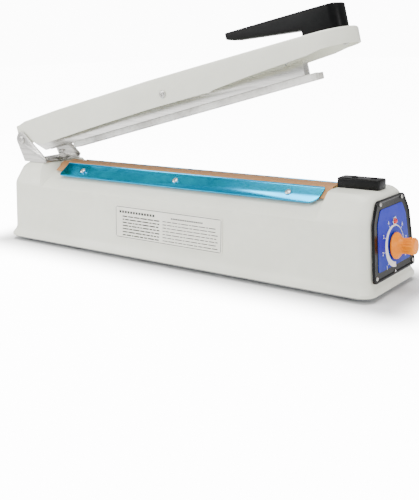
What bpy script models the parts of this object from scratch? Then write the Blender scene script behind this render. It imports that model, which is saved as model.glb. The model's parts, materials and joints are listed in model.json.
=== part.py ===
"""Impulse heat sealer: a bench-top bag sealer with a hinged arm, as separate solids.

+X runs from the hinge to the control panel, -Y is the operator's side, +Z is up.
The machine stands on its feet at Z = 0. All sizes are in metres.
"""
import math

import bmesh
import bpy
from mathutils import Matrix, Vector

# ---- driving dimensions -------------------------------------------------------------------
GAP = 0.0003                    # clearance between touching pieces
JOIN = 0.0002                   # offset that keeps joined sheets from sharing a face
FRAME_X = -0.00195              # moves the body so that the whole machine is centred on X = 0
WALL = 0.0012                   # sheet thickness of the body shell

FOOT_HEIGHT = 0.003
FOOT_RADIUS = 0.007
PLATE_THICK = 0.0012
SHELL_Z = FOOT_HEIGHT + GAP + PLATE_THICK + GAP     # lower edge of the shell

BODY_LEFT = -0.2225             # body ends at the lower edge
BODY_RIGHT = 0.2100
BODY_HALF_WIDTH = 0.0462        # at the flared lip
LIP_TOP_Z = 0.008               # heights below are above the shell's lower edge
CREASE_Z = 0.058
SHOULDER_Z = 0.074
ROOF_Z = 0.078
LIP_HALF_WIDTH = 0.0424
CREASE_HALF_WIDTH = 0.0390
SHOULDER_HALF_WIDTH = 0.0300
ROOF_HALF_WIDTH = 0.0262
END_LEAN = 0.097                # the panel end leans in by this much for each unit of height
END_X_AT_LIP = 0.2078

LAND_LEFT = -0.1710             # the pressed land that carries the sealing line
LAND_RIGHT = 0.1575
LAND_FLAT_HALF = 0.0095
LAND_FLAT_Z = 0.0752
LAND_SLOPE = 0.6585             # drop for each unit of width

SEAL_CENTRE = -0.0016
SEAL_HALF = 0.1530
BED_HALF_WIDTH = 0.0080
BED_THICK = 0.0025
ELEMENT_WIDTH = 0.0025
ELEMENT_THICK = 0.00025
CLOTH_THICK = 0.00025
CLOTH_LEFT = -0.1680
CLOTH_RIGHT = 0.1570
CLOTH_HALF_WIDTH = 0.0205
STRIP_THICK = 0.0012
STRIP_INNER = 0.0109            # edges of a clamp strip, measured from the centre line
STRIP_OUTER = 0.0257
STRIP_SCREW_PITCH = 0.1233
STRIP_SCREW_Y = 0.0183

BLOCK_LEFT = 0.1590
BLOCK_RIGHT = 0.1966
BLOCK_HALF_WIDTH = 0.0073
BLOCK_HEIGHT = 0.0082
BLOCK_HOLE_X = 0.1900
PLUNGER_X = 0.1720
PLUNGER_RADIUS = 0.0025
PLUNGER_TRAVEL = 0.0008

HINGE_X = -0.2125
HINGE_Z = 0.1010
HINGE_RADIUS = 0.0026
REST_ANGLE = math.radians(13.7)     # the open arm stands this far above the closed position
EAR_RADIUS = 0.0083
EAR_INNER_Y = 0.0238
EAR_THICK = 0.0015

COVER_HALF_WIDTH = 0.0232
COVER_WALL = 0.0013
COVER_LENGTH = 0.3960               # hinge pin to the tip of the round end
BAR_HALF_WIDTH = 0.0046
BAR_WALL = 0.0012
BAR_RIGHT = 0.3460
SILICONE_LEFT = 0.0575
SILICONE_RIGHT = 0.3570
SILICONE_THICK = 0.0056
SILICONE_HALF_WIDTH = 0.0065
GUIDE_X = 0.2080
GUIDE_Z = 0.0015
GUIDE_RADIUS = 0.0020
OVER_TRAVEL = math.radians(1.8)

HANDLE_HALF_WIDTH = 0.0100
SPRING_X = 0.0345                   # lift spring, measured along the arm from the pin
PRESSURE_SPRING_X = 0.3300          # pressure spring between bar and cover, measured the same way

PANEL_THICK = 0.0026
KNOB_Z = 0.0330
KNOB_LENGTH = 0.0180
KNOB_RADIUS = 0.0110
KNOB_Y = 0.0015
LAMP_Z = 0.0530
LAMP_Y = 0.0030

WHITE = (0.76, 0.76, 0.73, 1.0)
BLACK = (0.015, 0.015, 0.016, 1.0)
STEEL = (0.62, 0.61, 0.58, 1.0)
TAN = (0.58, 0.36, 0.20, 1.0)
BLUE = (0.01, 0.38, 0.72, 1.0)


# ---- scene and small helpers ---------------------------------------------------------------
for old in list(bpy.data.objects):
    bpy.data.objects.remove(old, do_unlink=True)

machine = bpy.data.collections.new("impulse_heat_sealer")
tools = bpy.data.collections.new("cutters")
bpy.context.scene.collection.children.link(machine)
bpy.context.scene.collection.children.link(tools)


def material(name, colour, roughness=0.5, metallic=0.0):
    """A Principled material with one colour."""
    made = bpy.data.materials.new(name)
    made.use_nodes = True
    shader = made.node_tree.nodes["Principled BSDF"]
    shader.inputs["Base Color"].default_value = colour
    shader.inputs["Roughness"].default_value = roughness
    shader.inputs["Metallic"].default_value = metallic
    return made


def empty(name, location, angle=0.0):
    """A guide empty, turned by an angle about Y, that carries the pieces on an axis."""
    guide = bpy.data.objects.new(name, None)
    guide.location = location
    guide.rotation_euler = (0.0, angle, 0.0)
    machine.objects.link(guide)
    return guide


def piece(name, mesh, colour, roughness=0.5, metallic=0.0, parent=None):
    """Put a mesh in the machine as a named sub-part."""
    mesh.name = name
    made = bpy.data.objects.new(name, mesh)
    machine.objects.link(made)
    mesh.materials.clear()
    mesh.materials.append(material(name, colour, roughness, metallic))
    made.parent = parent or world_frame
    return made


def cutter(name, mesh, parent=None):
    """A body that only cuts others."""
    mesh.name = name
    made = bpy.data.objects.new(name, mesh)
    tools.objects.link(made)
    made.parent = parent or world_frame
    made.hide_render = True
    made.display_type = "WIRE"
    return made


def cut(target, tool, operation="DIFFERENCE"):
    """Add an exact Boolean modifier."""
    step = target.modifiers.new(tool.name, "BOOLEAN")
    step.operation = operation
    step.solver = "EXACT"
    step.object = tool


def bevel(target, width, segments=1, angle=35.0):
    """Round the sharp edges of a piece."""
    step = target.modifiers.new("edge", "BEVEL")
    step.width = width
    step.segments = segments
    step.limit_method = "ANGLE"
    step.angle_limit = math.radians(angle)


def finish_mesh(bm, smooth=False):
    """Turn a bmesh into a mesh with consistent outward faces."""
    bmesh.ops.remove_doubles(bm, verts=bm.verts, dist=1e-6)
    bmesh.ops.recalc_face_normals(bm, faces=bm.faces)
    mesh = bpy.data.meshes.new("piece")
    bm.to_mesh(mesh)
    bm.free()
    if smooth:
        mesh.shade_smooth()
        mesh.set_sharp_from_angle(angle=math.radians(40))
    return mesh


def add_box(bm, low, high):
    """A box from its lowest corner to its highest."""
    low, high = Vector(low), Vector(high)
    place = Matrix.Translation((low + high) / 2) @ Matrix.Diagonal((*(high - low), 1.0))
    bmesh.ops.create_cube(bm, size=1.0, matrix=place)


def add_rod(bm, start, end, radius, sides=12):
    """A round rod between two points."""
    start, end = Vector(start), Vector(end)
    run = end - start
    turn = run.to_track_quat("Z", "Y").to_matrix().to_4x4()
    place = Matrix.Translation((start + end) / 2) @ turn
    bmesh.ops.create_cone(bm, cap_ends=True, segments=sides, radius1=radius, radius2=radius,
                          depth=run.length, matrix=place)


def boxes(*corners):
    """A mesh of separate boxes."""
    bm = bmesh.new()
    for low, high in corners:
        add_box(bm, low, high)
    return finish_mesh(bm)


def rods(*ends, sides=12):
    """A mesh of separate rods, each given as start, end and radius."""
    bm = bmesh.new()
    for start, end, radius in ends:
        add_rod(bm, start, end, radius, sides)
    return finish_mesh(bm, smooth=True)


def evaluated_mesh(source):
    """The welded mesh of an object with its modifiers, after which the object is removed."""
    bpy.context.view_layer.update()
    graph = bpy.context.evaluated_depsgraph_get()
    mesh = bpy.data.meshes.new_from_object(source.evaluated_get(graph))
    mesh.transform(source.matrix_world)
    bpy.data.objects.remove(source, do_unlink=True)
    bm = bmesh.new()
    bm.from_mesh(mesh)
    bmesh.ops.remove_doubles(bm, verts=bm.verts, dist=2e-6)
    bmesh.ops.recalc_face_normals(bm, faces=bm.faces)
    bm.to_mesh(mesh)
    bm.free()
    return mesh


def turned(profile, steps=14):
    """A turned body about Z from (radius, height) points, given from top to bottom."""
    mesh = bpy.data.meshes.new("profile")
    points = [(radius, 0.0, height) for radius, height in profile]
    mesh.from_pydata(points, [(i, i + 1) for i in range(len(points) - 1)], [])
    lathe = bpy.data.objects.new("lathe", mesh)
    bpy.context.scene.collection.objects.link(lathe)
    spin = lathe.modifiers.new("turn", "SCREW")
    spin.axis = "Z"
    spin.steps = spin.render_steps = steps
    spin.use_merge_vertices = True
    spin.merge_threshold = 0.00001
    made = evaluated_mesh(lathe)
    made.shade_smooth()
    made.set_sharp_from_angle(angle=math.radians(40))
    return made


def outline_plate(points, thickness, centre=0.0, holes=()):
    """A flat plate in the X-Z plane from an outline, centred at a Y, with outline holes."""
    shape = bpy.data.curves.new("outline", "CURVE")
    shape.dimensions = "2D"
    shape.fill_mode = "BOTH"
    shape.extrude = thickness / 2
    for loop in (points, *holes):
        spline = shape.splines.new("POLY")
        spline.points.add(len(loop) - 1)
        for corner, (x, z) in zip(spline.points, loop):
            corner.co = (x, z, 0.0, 1.0)
        spline.use_cyclic_u = True
    flat = bpy.data.objects.new("outline", shape)
    bpy.context.scene.collection.objects.link(flat)
    flat.matrix_world = Matrix.Translation((0, centre, 0)) @ Matrix.Rotation(math.pi / 2, 4, "X")
    return evaluated_mesh(flat)


def repeated(names, mesh, places, colour, roughness=0.5, metallic=0.0, parent=None):
    """One object for each place, all sharing one mesh."""
    for name, place in zip(names, places):
        made = bpy.data.objects.new(name, mesh)
        machine.objects.link(made)
        made.parent = parent or world_frame
        made.matrix_local = place
    mesh.name = names[0]
    mesh.materials.append(material(names[0], colour, roughness, metallic))


def numbered(stem, count):
    """Names stem_1, stem_2 and so on."""
    return [f"{stem}_{i + 1}" for i in range(count)]


def arc(centre, radius, start, end, steps):
    """Points on an arc in degrees, as (x, z) pairs."""
    turn = [math.radians(start + (end - start) * i / steps) for i in range(steps + 1)]
    return [(centre[0] + radius * math.cos(a), centre[1] + radius * math.sin(a)) for a in turn]


def ring(left, right, half_width, height, radius, corner_steps=4):
    """A rounded rectangle in plan, as points round from the front right corner."""
    corners = ((right, -half_width, -90), (right, half_width, 0),
               (left, half_width, 90), (left, -half_width, 180))
    points = []
    for x, y, start in corners:
        centre_x = x - math.copysign(radius, x - (left + right) / 2)
        centre_y = y - math.copysign(radius, y)
        points += arc((centre_x, centre_y), radius, start, start + 90, corner_steps)
    return [Vector((x, y, height)) for x, y in points]


def loft(rings):
    """A closed body through rings that have the same number of points."""
    bm = bmesh.new()
    rows = [[bm.verts.new(point) for point in loop] for loop in rings]
    for lower, upper in zip(rows, rows[1:]):
        for i in range(len(lower)):
            j = (i + 1) % len(lower)
            bm.faces.new((lower[i], lower[j], upper[j], upper[i]))
    bm.faces.new(rows[0][::-1])
    bm.faces.new(rows[-1])
    return finish_mesh(bm, smooth=True)


def coil(radius, wire, low, high, turns, points_per_turn=10):
    """A coil spring round Z with its lowest and highest wire at the two heights."""
    shape = bpy.data.curves.new("coil", "CURVE")
    shape.dimensions = "3D"
    shape.bevel_depth = wire / 2
    shape.bevel_resolution = 1
    shape.use_fill_caps = True
    count = int(turns * points_per_turn)
    spline = shape.splines.new("POLY")
    spline.points.add(count)
    for i, point in enumerate(spline.points):
        angle = 2 * math.pi * i / points_per_turn
        height = low + wire / 2 + (high - low - wire) * i / count
        point.co = (radius * math.cos(angle), radius * math.sin(angle), height, 1.0)
    wound = bpy.data.objects.new("coil", shape)
    bpy.context.scene.collection.objects.link(wound)
    return evaluated_mesh(wound)


def moved(mesh, place):
    """The mesh placed by a matrix."""
    mesh.transform(place)
    return mesh


def pan_screw(head, head_height, shank, length, steps=10):
    """A round-headed screw that stands on Z = 0 and points down."""
    return turned([(0, head_height), (head * 0.55, head_height), (head * 0.9, head_height * 0.55),
                   (head, 0), (shank, 0), (shank, -length), (0, -length)], steps)


# ---- frames ----------------------------------------------------------------------------------
world_frame = empty("body_frame", (FRAME_X, 0, SHELL_Z))
hinge_axis = empty("hinge_axis", (FRAME_X + HINGE_X, 0, SHELL_Z + HINGE_Z), -REST_ANGLE)


def end_x(height):
    """X of the leaning end wall at a height above the shell's lower edge."""
    return END_X_AT_LIP - END_LEAN * (height - LIP_TOP_Z)


def on_panel(height, outward=0.0, y=0.0):
    """A matrix whose Z leaves the end wall squarely, and whose X points up along it."""
    lean = math.atan(END_LEAN)
    out = Vector((math.cos(lean), 0, math.sin(lean)))
    up = Vector((-math.sin(lean), 0, math.cos(lean)))
    side = out.cross(up)
    base = Vector((end_x(height), y, height)) + out * outward
    turn = Matrix((up, side, out)).transposed().to_4x4()
    return Matrix.Translation(base) @ turn


def on_slope(x, side, lift=0.0, across=STRIP_SCREW_Y):
    """A matrix whose Z leaves the sloping land squarely, on the front (-1) or rear (+1)."""
    tilt = math.atan(LAND_SLOPE)
    out = Vector((0, side * math.sin(tilt), math.cos(tilt)))
    along = Vector((1, 0, 0))
    height = LAND_FLAT_Z - LAND_SLOPE * (across - LAND_FLAT_HALF)
    base = Vector((x, side * across, height)) + out * lift
    turn = Matrix((along, out.cross(along), out)).transposed().to_4x4()
    return Matrix.Translation(base) @ turn


# ---- body shell ---------------------------------------------------------------------------------
def body_rings(inset):
    """The shell's sections from the lip to the roof, offset inwards by a wall thickness."""
    rows = (
        (0.0, BODY_LEFT, BODY_RIGHT, BODY_HALF_WIDTH, 0.013),
        (0.0025, BODY_LEFT, BODY_RIGHT, BODY_HALF_WIDTH, 0.013),
        (LIP_TOP_Z, BODY_LEFT + 0.003, END_X_AT_LIP, LIP_HALF_WIDTH, 0.010),
        (CREASE_Z, BODY_LEFT + 0.0040, end_x(CREASE_Z), CREASE_HALF_WIDTH, 0.009),
        (SHOULDER_Z, BODY_LEFT + 0.0085, end_x(SHOULDER_Z), SHOULDER_HALF_WIDTH, 0.009),
        (ROOF_Z, BODY_LEFT + 0.0145, end_x(ROOF_Z) - 0.004, ROOF_HALF_WIDTH, 0.007),
    )
    made = []
    for i, (height, left, right, half_width, radius) in enumerate(rows):
        drop = inset if i == len(rows) - 1 else inset * 0.5 if i == len(rows) - 2 else 0.0
        if i == 0 and inset:
            height -= 0.002
        made.append(ring(left + inset, right - inset, half_width - inset, height - drop,
                         max(radius - inset, 0.004)))
    return made


def land_cutter(name, inset):
    """The wedge-sided body that presses the land into the roof."""
    drop = inset * math.sqrt(1 + LAND_SLOPE ** 2)
    reach = 0.050
    low = LAND_FLAT_Z - LAND_SLOPE * (reach - LAND_FLAT_HALF) - drop
    flat = LAND_FLAT_HALF
    section = [(-reach, low), (-flat, LAND_FLAT_Z - drop), (flat, LAND_FLAT_Z - drop), (reach, low),
               (reach, 0.1), (-reach, 0.1)]
    length = LAND_RIGHT - LAND_LEFT + 2 * inset
    mesh = outline_plate(section, length)
    turn = Matrix.Rotation(math.pi / 2, 4, "Z")
    middle = (LAND_LEFT + LAND_RIGHT) / 2
    return cutter(name, moved(mesh, Matrix.Translation((middle, 0, 0)) @ turn))


strip_screw_places = [
    (SEAL_CENTRE + offset * STRIP_SCREW_PITCH - 0.0008, side)
    for side in (-1, 1) for offset in (-1, 0, 1)
]
GLAND_X = -0.165
GLAND_Z = 0.022
BRACKET_LEFT = HINGE_X - 0.004
BRACKET_RIGHT = -0.1765
BRACKET_SCREWS = [(-0.1860, y) for y in (-0.0150, 0.0150)]
TERMINAL_X = (SEAL_CENTRE - SEAL_HALF - 0.0095, SEAL_CENTRE + SEAL_HALF + 0.0025)


def build_body_shell():
    """The pressed shell, its inside, the land and all its holes."""
    shell = piece("body_shell", loft(body_rings(0.0)), WHITE, 0.38)
    hollow = cutter("shell_hollow", loft(body_rings(WALL)))
    cut(shell, land_cutter("land", 0.0))
    cut(hollow, land_cutter("land_underside", WALL))
    cut(shell, hollow)
    holes = bmesh.new()
    add_box(holes, (-0.1960, -0.0060, 0.060), (-0.1735, 0.0060, 0.090))
    add_rod(holes, (PLUNGER_X, 0, 0.070), (PLUNGER_X, 0, 0.084), PLUNGER_RADIUS + 0.0006)
    add_rod(holes, (BLOCK_HOLE_X, 0, 0.070), (BLOCK_HOLE_X, 0, 0.084), 0.0019)
    add_rod(holes, (GLAND_X, 0.036, GLAND_Z), (GLAND_X, 0.048, GLAND_Z), 0.0064)
    for height, y, radius in ((KNOB_Z, KNOB_Y, 0.0048), (LAMP_Z, LAMP_Y, 0.0035)):
        place = on_panel(height, 0.0, y)
        add_rod(holes, place @ Vector((0, 0, -0.006)), place @ Vector((0, 0, 0.006)), radius)
    for x, y in BRACKET_SCREWS:
        add_rod(holes, (x, y, 0.070), (x, y, 0.084), 0.0019, 10)
    cut(shell, cutter("shell_holes", finish_mesh(holes)))
    cut(shell, strip_screw_cutter)


strip_screw_cutter = cutter("strip_screw_holes", rods(*[
    (on_slope(x, side) @ Vector((0, 0, -0.007)), on_slope(x, side) @ Vector((0, 0, 0.006)), 0.0018)
    for x, side in strip_screw_places], sides=10))


def build_base():
    """Base plate and feet."""
    top = -GAP
    inset = 0.0015
    plate = loft([ring(BODY_LEFT + inset, BODY_RIGHT - inset, BODY_HALF_WIDTH - inset, z, 0.0115)
                  for z in (top - PLATE_THICK, top)])
    plate = piece("base_plate", plate, (0.35, 0.36, 0.36, 1), 0.5, 0.3)
    corners = [(x, y) for x in (BODY_LEFT + 0.024, BODY_RIGHT - 0.024) for y in (-0.031, 0.031)]
    holes = rods(*[((x, y, -0.008), (x, y, 0.004), 0.0019) for x, y in corners], sides=10)
    cut(plate, cutter("base_holes", holes))
    foot = turned([(0, 0.0060), (0.0015, 0.0060), (0.0015, 0), (FOOT_RADIUS, 0),
                   (FOOT_RADIUS * 0.9, -FOOT_HEIGHT), (0, -FOOT_HEIGHT)], 16)
    under = top - PLATE_THICK - GAP
    repeated(numbered("rubber_foot", 4), foot, [Matrix.Translation((x, y, under)) for x, y in corners],
             (0.02, 0.02, 0.02, 1), 0.8)


# ---- sealing line ---------------------------------------------------------------------------------
BED_Z = LAND_FLAT_Z + GAP
ELEMENT_Z = BED_Z + BED_THICK + GAP
CLOTH_Z = ELEMENT_Z + ELEMENT_THICK + GAP


def slope_sheet(left, right, inner, outer, side, thickness, lift):
    """A flat strip that lies on one slope of the land."""
    tilt = math.sqrt(1 + LAND_SLOPE ** 2)
    middle = (inner + outer) / 2
    half = (outer - inner) / 2 * tilt
    place = on_slope((left + right) / 2, side, lift + thickness / 2, middle)
    return place, (right - left) / 2, half


def build_sealing_line():
    """Bed bar, element, terminals, cloth, clamp strips and screws."""
    bed = boxes(((SEAL_CENTRE - SEAL_HALF - 0.004, -BED_HALF_WIDTH, BED_Z),
                 (SEAL_CENTRE + SEAL_HALF - 0.003, BED_HALF_WIDTH, BED_Z + BED_THICK)))
    bevel(piece("sealing_bed", bed, (0.7, 0.7, 0.7, 1), 0.4, 0.9), 0.0007, 2)
    element = boxes(((TERMINAL_X[0] - 0.002, -ELEMENT_WIDTH / 2, ELEMENT_Z),
                     (TERMINAL_X[1] + 0.001, ELEMENT_WIDTH / 2, ELEMENT_Z + ELEMENT_THICK)))
    piece("heating_element", element, (0.6, 0.58, 0.55, 1), 0.35, 1.0)
    end = boxes(((-0.0025, -0.0045, BED_Z), (0.0012, 0.0045, BED_Z + BED_THICK)))
    repeated(("element_terminal_left", "element_terminal_right"), end,
             [Matrix.Translation((x, 0, 0)) for x in TERMINAL_X], (0.75, 0.55, 0.25, 1), 0.35, 1.0)

    tilt = math.atan(LAND_SLOPE)
    half, drop = BED_HALF_WIDTH, (CLOTH_HALF_WIDTH - BED_HALF_WIDTH)
    outer = [(-half - drop, CLOTH_Z - drop * LAND_SLOPE), (-half, CLOTH_Z),
             (half, CLOTH_Z), (half + drop, CLOTH_Z - drop * LAND_SLOPE)]
    rise = CLOTH_THICK / math.cos(tilt)
    section = outer + [(y, z + (rise if abs(y) > half else CLOTH_THICK)) for y, z in outer[::-1]]
    cloth = outline_plate(section, CLOTH_RIGHT - CLOTH_LEFT)
    turn = Matrix.Rotation(math.pi / 2, 4, "Z")
    place = Matrix.Translation(((CLOTH_LEFT + CLOTH_RIGHT) / 2, 0, 0))
    cloth = piece("ptfe_cloth", moved(cloth, place @ turn), TAN, 0.55)
    cut(cloth, strip_screw_cutter)

    for name, side in (("front_clamp_strip", -1), ("rear_clamp_strip", 1)):
        cloth_top = (CLOTH_Z - LAND_FLAT_Z + (LAND_FLAT_HALF - BED_HALF_WIDTH) * -LAND_SLOPE
                     + rise) * math.cos(tilt)
        place, half_x, half_y = slope_sheet(SEAL_CENTRE - SEAL_HALF, SEAL_CENTRE + SEAL_HALF,
                                            STRIP_INNER, STRIP_OUTER, side, STRIP_THICK,
                                            cloth_top + GAP)
        low = arc((-half_x + 0.003, half_y - 0.003), 0.003, 90, 180, 3)
        far = arc((half_x - 0.010, half_y - 0.010), 0.010, 0, 90, 5)
        corners = [(-half_x, -half_y), (half_x, -half_y)] + far + low
        strip = outline_plate(corners, STRIP_THICK)
        strip.transform(Matrix.Rotation(math.pi / 2, 4, "X") @ Matrix.Diagonal((1, 1, -1, 1)))
        strip.transform(Matrix.Diagonal((1, side, 1, 1)))
        if side > 0:
            strip.flip_normals()
        strip.transform(place)
        fix = bmesh.new()
        fix.from_mesh(strip)
        strip = finish_mesh(fix)
        strip = piece(name, strip, BLUE, 0.25, 0.7)
        cut(strip, strip_screw_cutter)
        screw = pan_screw(0.0031, 0.0016, 0.0014, 0.0070)
        places = [on_slope(x, s, cloth_top + STRIP_THICK + 2 * GAP)
                  for x, s in strip_screw_places if s == side]
        stem = "front_strip_screw" if side < 0 else "rear_strip_screw"
        repeated(numbered(stem, 3), screw, places, (0.8, 0.8, 0.8, 1), 0.15, 1.0)


# ---- switch block ---------------------------------------------------------------------------------
BLOCK_Z = ROOF_Z + GAP
BLOCK_TOP = BLOCK_Z + BLOCK_HEIGHT
PLUNGER_TOP = BLOCK_TOP + 0.0010


def build_switch():
    """Block, its screw, the plunger, the microswitch and its bracket."""
    block = boxes(((BLOCK_LEFT, -BLOCK_HALF_WIDTH, BLOCK_Z), (BLOCK_RIGHT, BLOCK_HALF_WIDTH, BLOCK_TOP)))
    block = piece("switch_block", block, BLACK, 0.25)
    bevel(block, 0.0011, 2)
    bore = rods(((PLUNGER_X, 0, 0.07), (PLUNGER_X, 0, 0.10), PLUNGER_RADIUS + GAP))
    cut(block, cutter("plunger_bore", bore))
    stepped = turned([(0, 0.100), (0.0036, 0.100), (0.0036, BLOCK_TOP - 0.0035),
                      (0.0018, BLOCK_TOP - 0.0035), (0.0018, 0.070), (0, 0.070)])
    cut(block, cutter("counterbore", moved(stepped, Matrix.Translation((BLOCK_HOLE_X, 0, 0)))))
    screw = pan_screw(0.0029, 0.0018, 0.0014, 0.0095)
    seat = Matrix.Translation((BLOCK_HOLE_X, 0, BLOCK_TOP - 0.0035 + GAP))
    piece("switch_block_screw", moved(screw, seat), STEEL, 0.3, 1.0)

    guide = empty("plunger_axis", (FRAME_X + PLUNGER_X, 0, SHELL_Z + PLUNGER_TOP))
    r = PLUNGER_RADIUS
    stem = turned([(0, 0), (r * 0.7, 0), (r, -0.0008), (r, -0.0160), (0.0012, -0.0162),
                   (0.0012, -0.0185), (0, -0.0185)])
    piece("switch_plunger", stem, BLACK, 0.3, 0, guide)
    low = PLUNGER_TOP - 0.0185 - PLUNGER_TRAVEL
    case = boxes(((PLUNGER_X - 0.0140, -0.0050, low - 0.0135), (PLUNGER_X + 0.0060, 0.0050, low - GAP)))
    bevel(piece("microswitch", case, (0.03, 0.03, 0.035, 1), 0.45), 0.0005)
    lug = [(-0.0165, low - 0.020), (0.0080, low - 0.020), (0.0080, 0.0765), (0.0066, 0.0765),
           (0.0066, low - 0.0186), (-0.0165, low - 0.0186)]
    strap = outline_plate([(PLUNGER_X + x, z) for x, z in lug], 0.012)
    piece("switch_bracket", strap, STEEL, 0.4, 0.9)


# ---- inside ---------------------------------------------------------------------------------------
CORE_X = -0.030


def build_power_parts():
    """Transformer, timer board, potentiometer, lamp and gland."""
    half, tall, low = 0.028, 0.046, 0.0025
    window = 0.0095
    frame = [(CORE_X - half, low), (CORE_X + half, low), (CORE_X + half, low + tall),
             (CORE_X - half, low + tall)]
    holes = []
    for side in (-1, 1):
        near, far = CORE_X + side * 0.0095, CORE_X + side * (0.0095 + window)
        holes.append([(near, low + 0.0095), (far, low + 0.0095), (far, low + tall - 0.0095),
                      (near, low + tall - 0.0095)])
    core = outline_plate(frame, 0.028, 0.0, holes)
    piece("transformer_core", core, (0.12, 0.12, 0.13, 1), 0.5, 0.6)
    z0, z1 = low + 0.0095 + GAP, low + tall - 0.0095 - GAP
    reach = 0.0095 + window - GAP
    ring_outer = [(CORE_X - reach, -0.0225), (CORE_X + reach, -0.0225), (CORE_X + reach, 0.0225),
                  (CORE_X - reach, 0.0225)]
    leg = 0.0095 + GAP
    ring_inner = [(CORE_X - leg, -0.0145), (CORE_X - leg, 0.0145), (CORE_X + leg, 0.0145),
                  (CORE_X + leg, -0.0145)]
    winding = outline_plate(ring_outer, z1 - z0, 0.0, [ring_inner])
    winding.transform(Matrix.Translation((0, 0, (z0 + z1) / 2)) @ Matrix.Rotation(-math.pi / 2, 4, "X"))
    piece("transformer_winding", winding, (0.55, 0.30, 0.08, 1), 0.45)
    top = low + tall + GAP
    strap = [(CORE_X - half - GAP - 0.0012, 0.0004), (CORE_X - half - GAP, 0.0004),
             (CORE_X - half - GAP, top), (CORE_X + half + GAP, top), (CORE_X + half + GAP, 0.0004),
             (CORE_X + half + GAP + 0.0012, 0.0004), (CORE_X + half + GAP + 0.0012, top + 0.0012),
             (CORE_X - half - GAP - 0.0012, top + 0.0012)]
    piece("transformer_strap", outline_plate(strap, 0.012), STEEL, 0.4, 0.9)

    board_z = 0.0120
    board = boxes(((0.095, -0.027, board_z), (0.150, 0.027, board_z + 0.0016)))
    piece("timer_board", board, (0.05, 0.22, 0.08, 1), 0.45)
    rails = [(0.095, 0.0004), (0.150, 0.0004), (0.150, board_z - GAP), (0.147, board_z - GAP),
             (0.147, 0.0034), (0.098, 0.0034), (0.098, board_z - GAP), (0.095, board_z - GAP)]
    piece("board_carrier", outline_plate(rails, 0.046), (0.75, 0.75, 0.72, 1), 0.5)
    face = board_z + 0.0016 + GAP
    piece("timer_relay", boxes(((0.104, -0.018, face), (0.122, -0.004, face + 0.015))),
          (0.08, 0.18, 0.45, 1), 0.4)

    base = on_panel(KNOB_Z, 0.0, KNOB_Y)
    body = turned([(0, -0.0020), (0.0040, -0.0020), (0.0040, -0.0028), (0.0085, -0.0028),
                   (0.0085, -0.0110), (0, -0.0110)], 16)
    pot = piece("potentiometer", moved(body, base), (0.30, 0.30, 0.32, 1), 0.4, 0.7)
    bore = rods((base @ Vector((0, 0, -0.0080)), base @ Vector((0, 0, 0.01)), 0.0025))
    cut(pot, cutter("pot_bore", bore))

    lamp = on_panel(LAMP_Z, 0.0, LAMP_Y)
    holder = turned([(0, PANEL_THICK + 0.0024), (0.0012, PANEL_THICK + 0.0022),
                     (0.0022, PANEL_THICK + 0.0012), (0.0024, PANEL_THICK + 0.0002),
                     (0.0024, -0.0010), (0, -0.0010)], 12)
    piece("indicator_lamp", moved(holder, lamp), (0.75, 0.02, 0.02, 1), 0.15)

    outward = Matrix.Translation((GLAND_X, 0.0419, GLAND_Z)) @ Matrix.Rotation(-math.pi / 2, 4, "X")
    # an open sleeve, so that a mains lead can pass
    gland = turned([(0.0034, 0.0041), (0.0052, 0.0041), (0.0066, 0.0034), (0.0078, 0.0024),
                    (0.0078, 0.0006), (0.0060, 0.0006), (0.0060, -0.0060), (0.0034, -0.0060),
                    (0.0034, 0.0041)], 14)
    piece("cable_gland", moved(gland, outward), BLACK, 0.5)


# ---- control panel --------------------------------------------------------------------------------
def panel_outline(shrink):
    """The panel's six-sided face as (up, side) points, pulled in by a margin."""
    corners = [(0.0099, 0.0379), (0.0576, 0.0331), (0.0732, 0.0241)]
    mid = KNOB_Z
    low, middle, high = [(z - mid, y - shrink) for z, y in corners]
    low = (low[0] + shrink, low[1])
    high = (high[0] - shrink, high[1])
    half = [low, middle, high]
    return [(u, -v) for u, v in half] + [(u, v) for u, v in half[::-1]]


def panel_plate(points, low, high, name, colour, roughness):
    """A plate parallel to the leaning end wall."""
    plate = outline_plate(points, high - low)
    plate.transform(Matrix.Rotation(-math.pi / 2, 4, "X"))
    plate.transform(Matrix.Translation((0, 0, (low + high) / 2)))
    plate.transform(on_panel(KNOB_Z))
    return piece(name, plate, colour, roughness)


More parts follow.
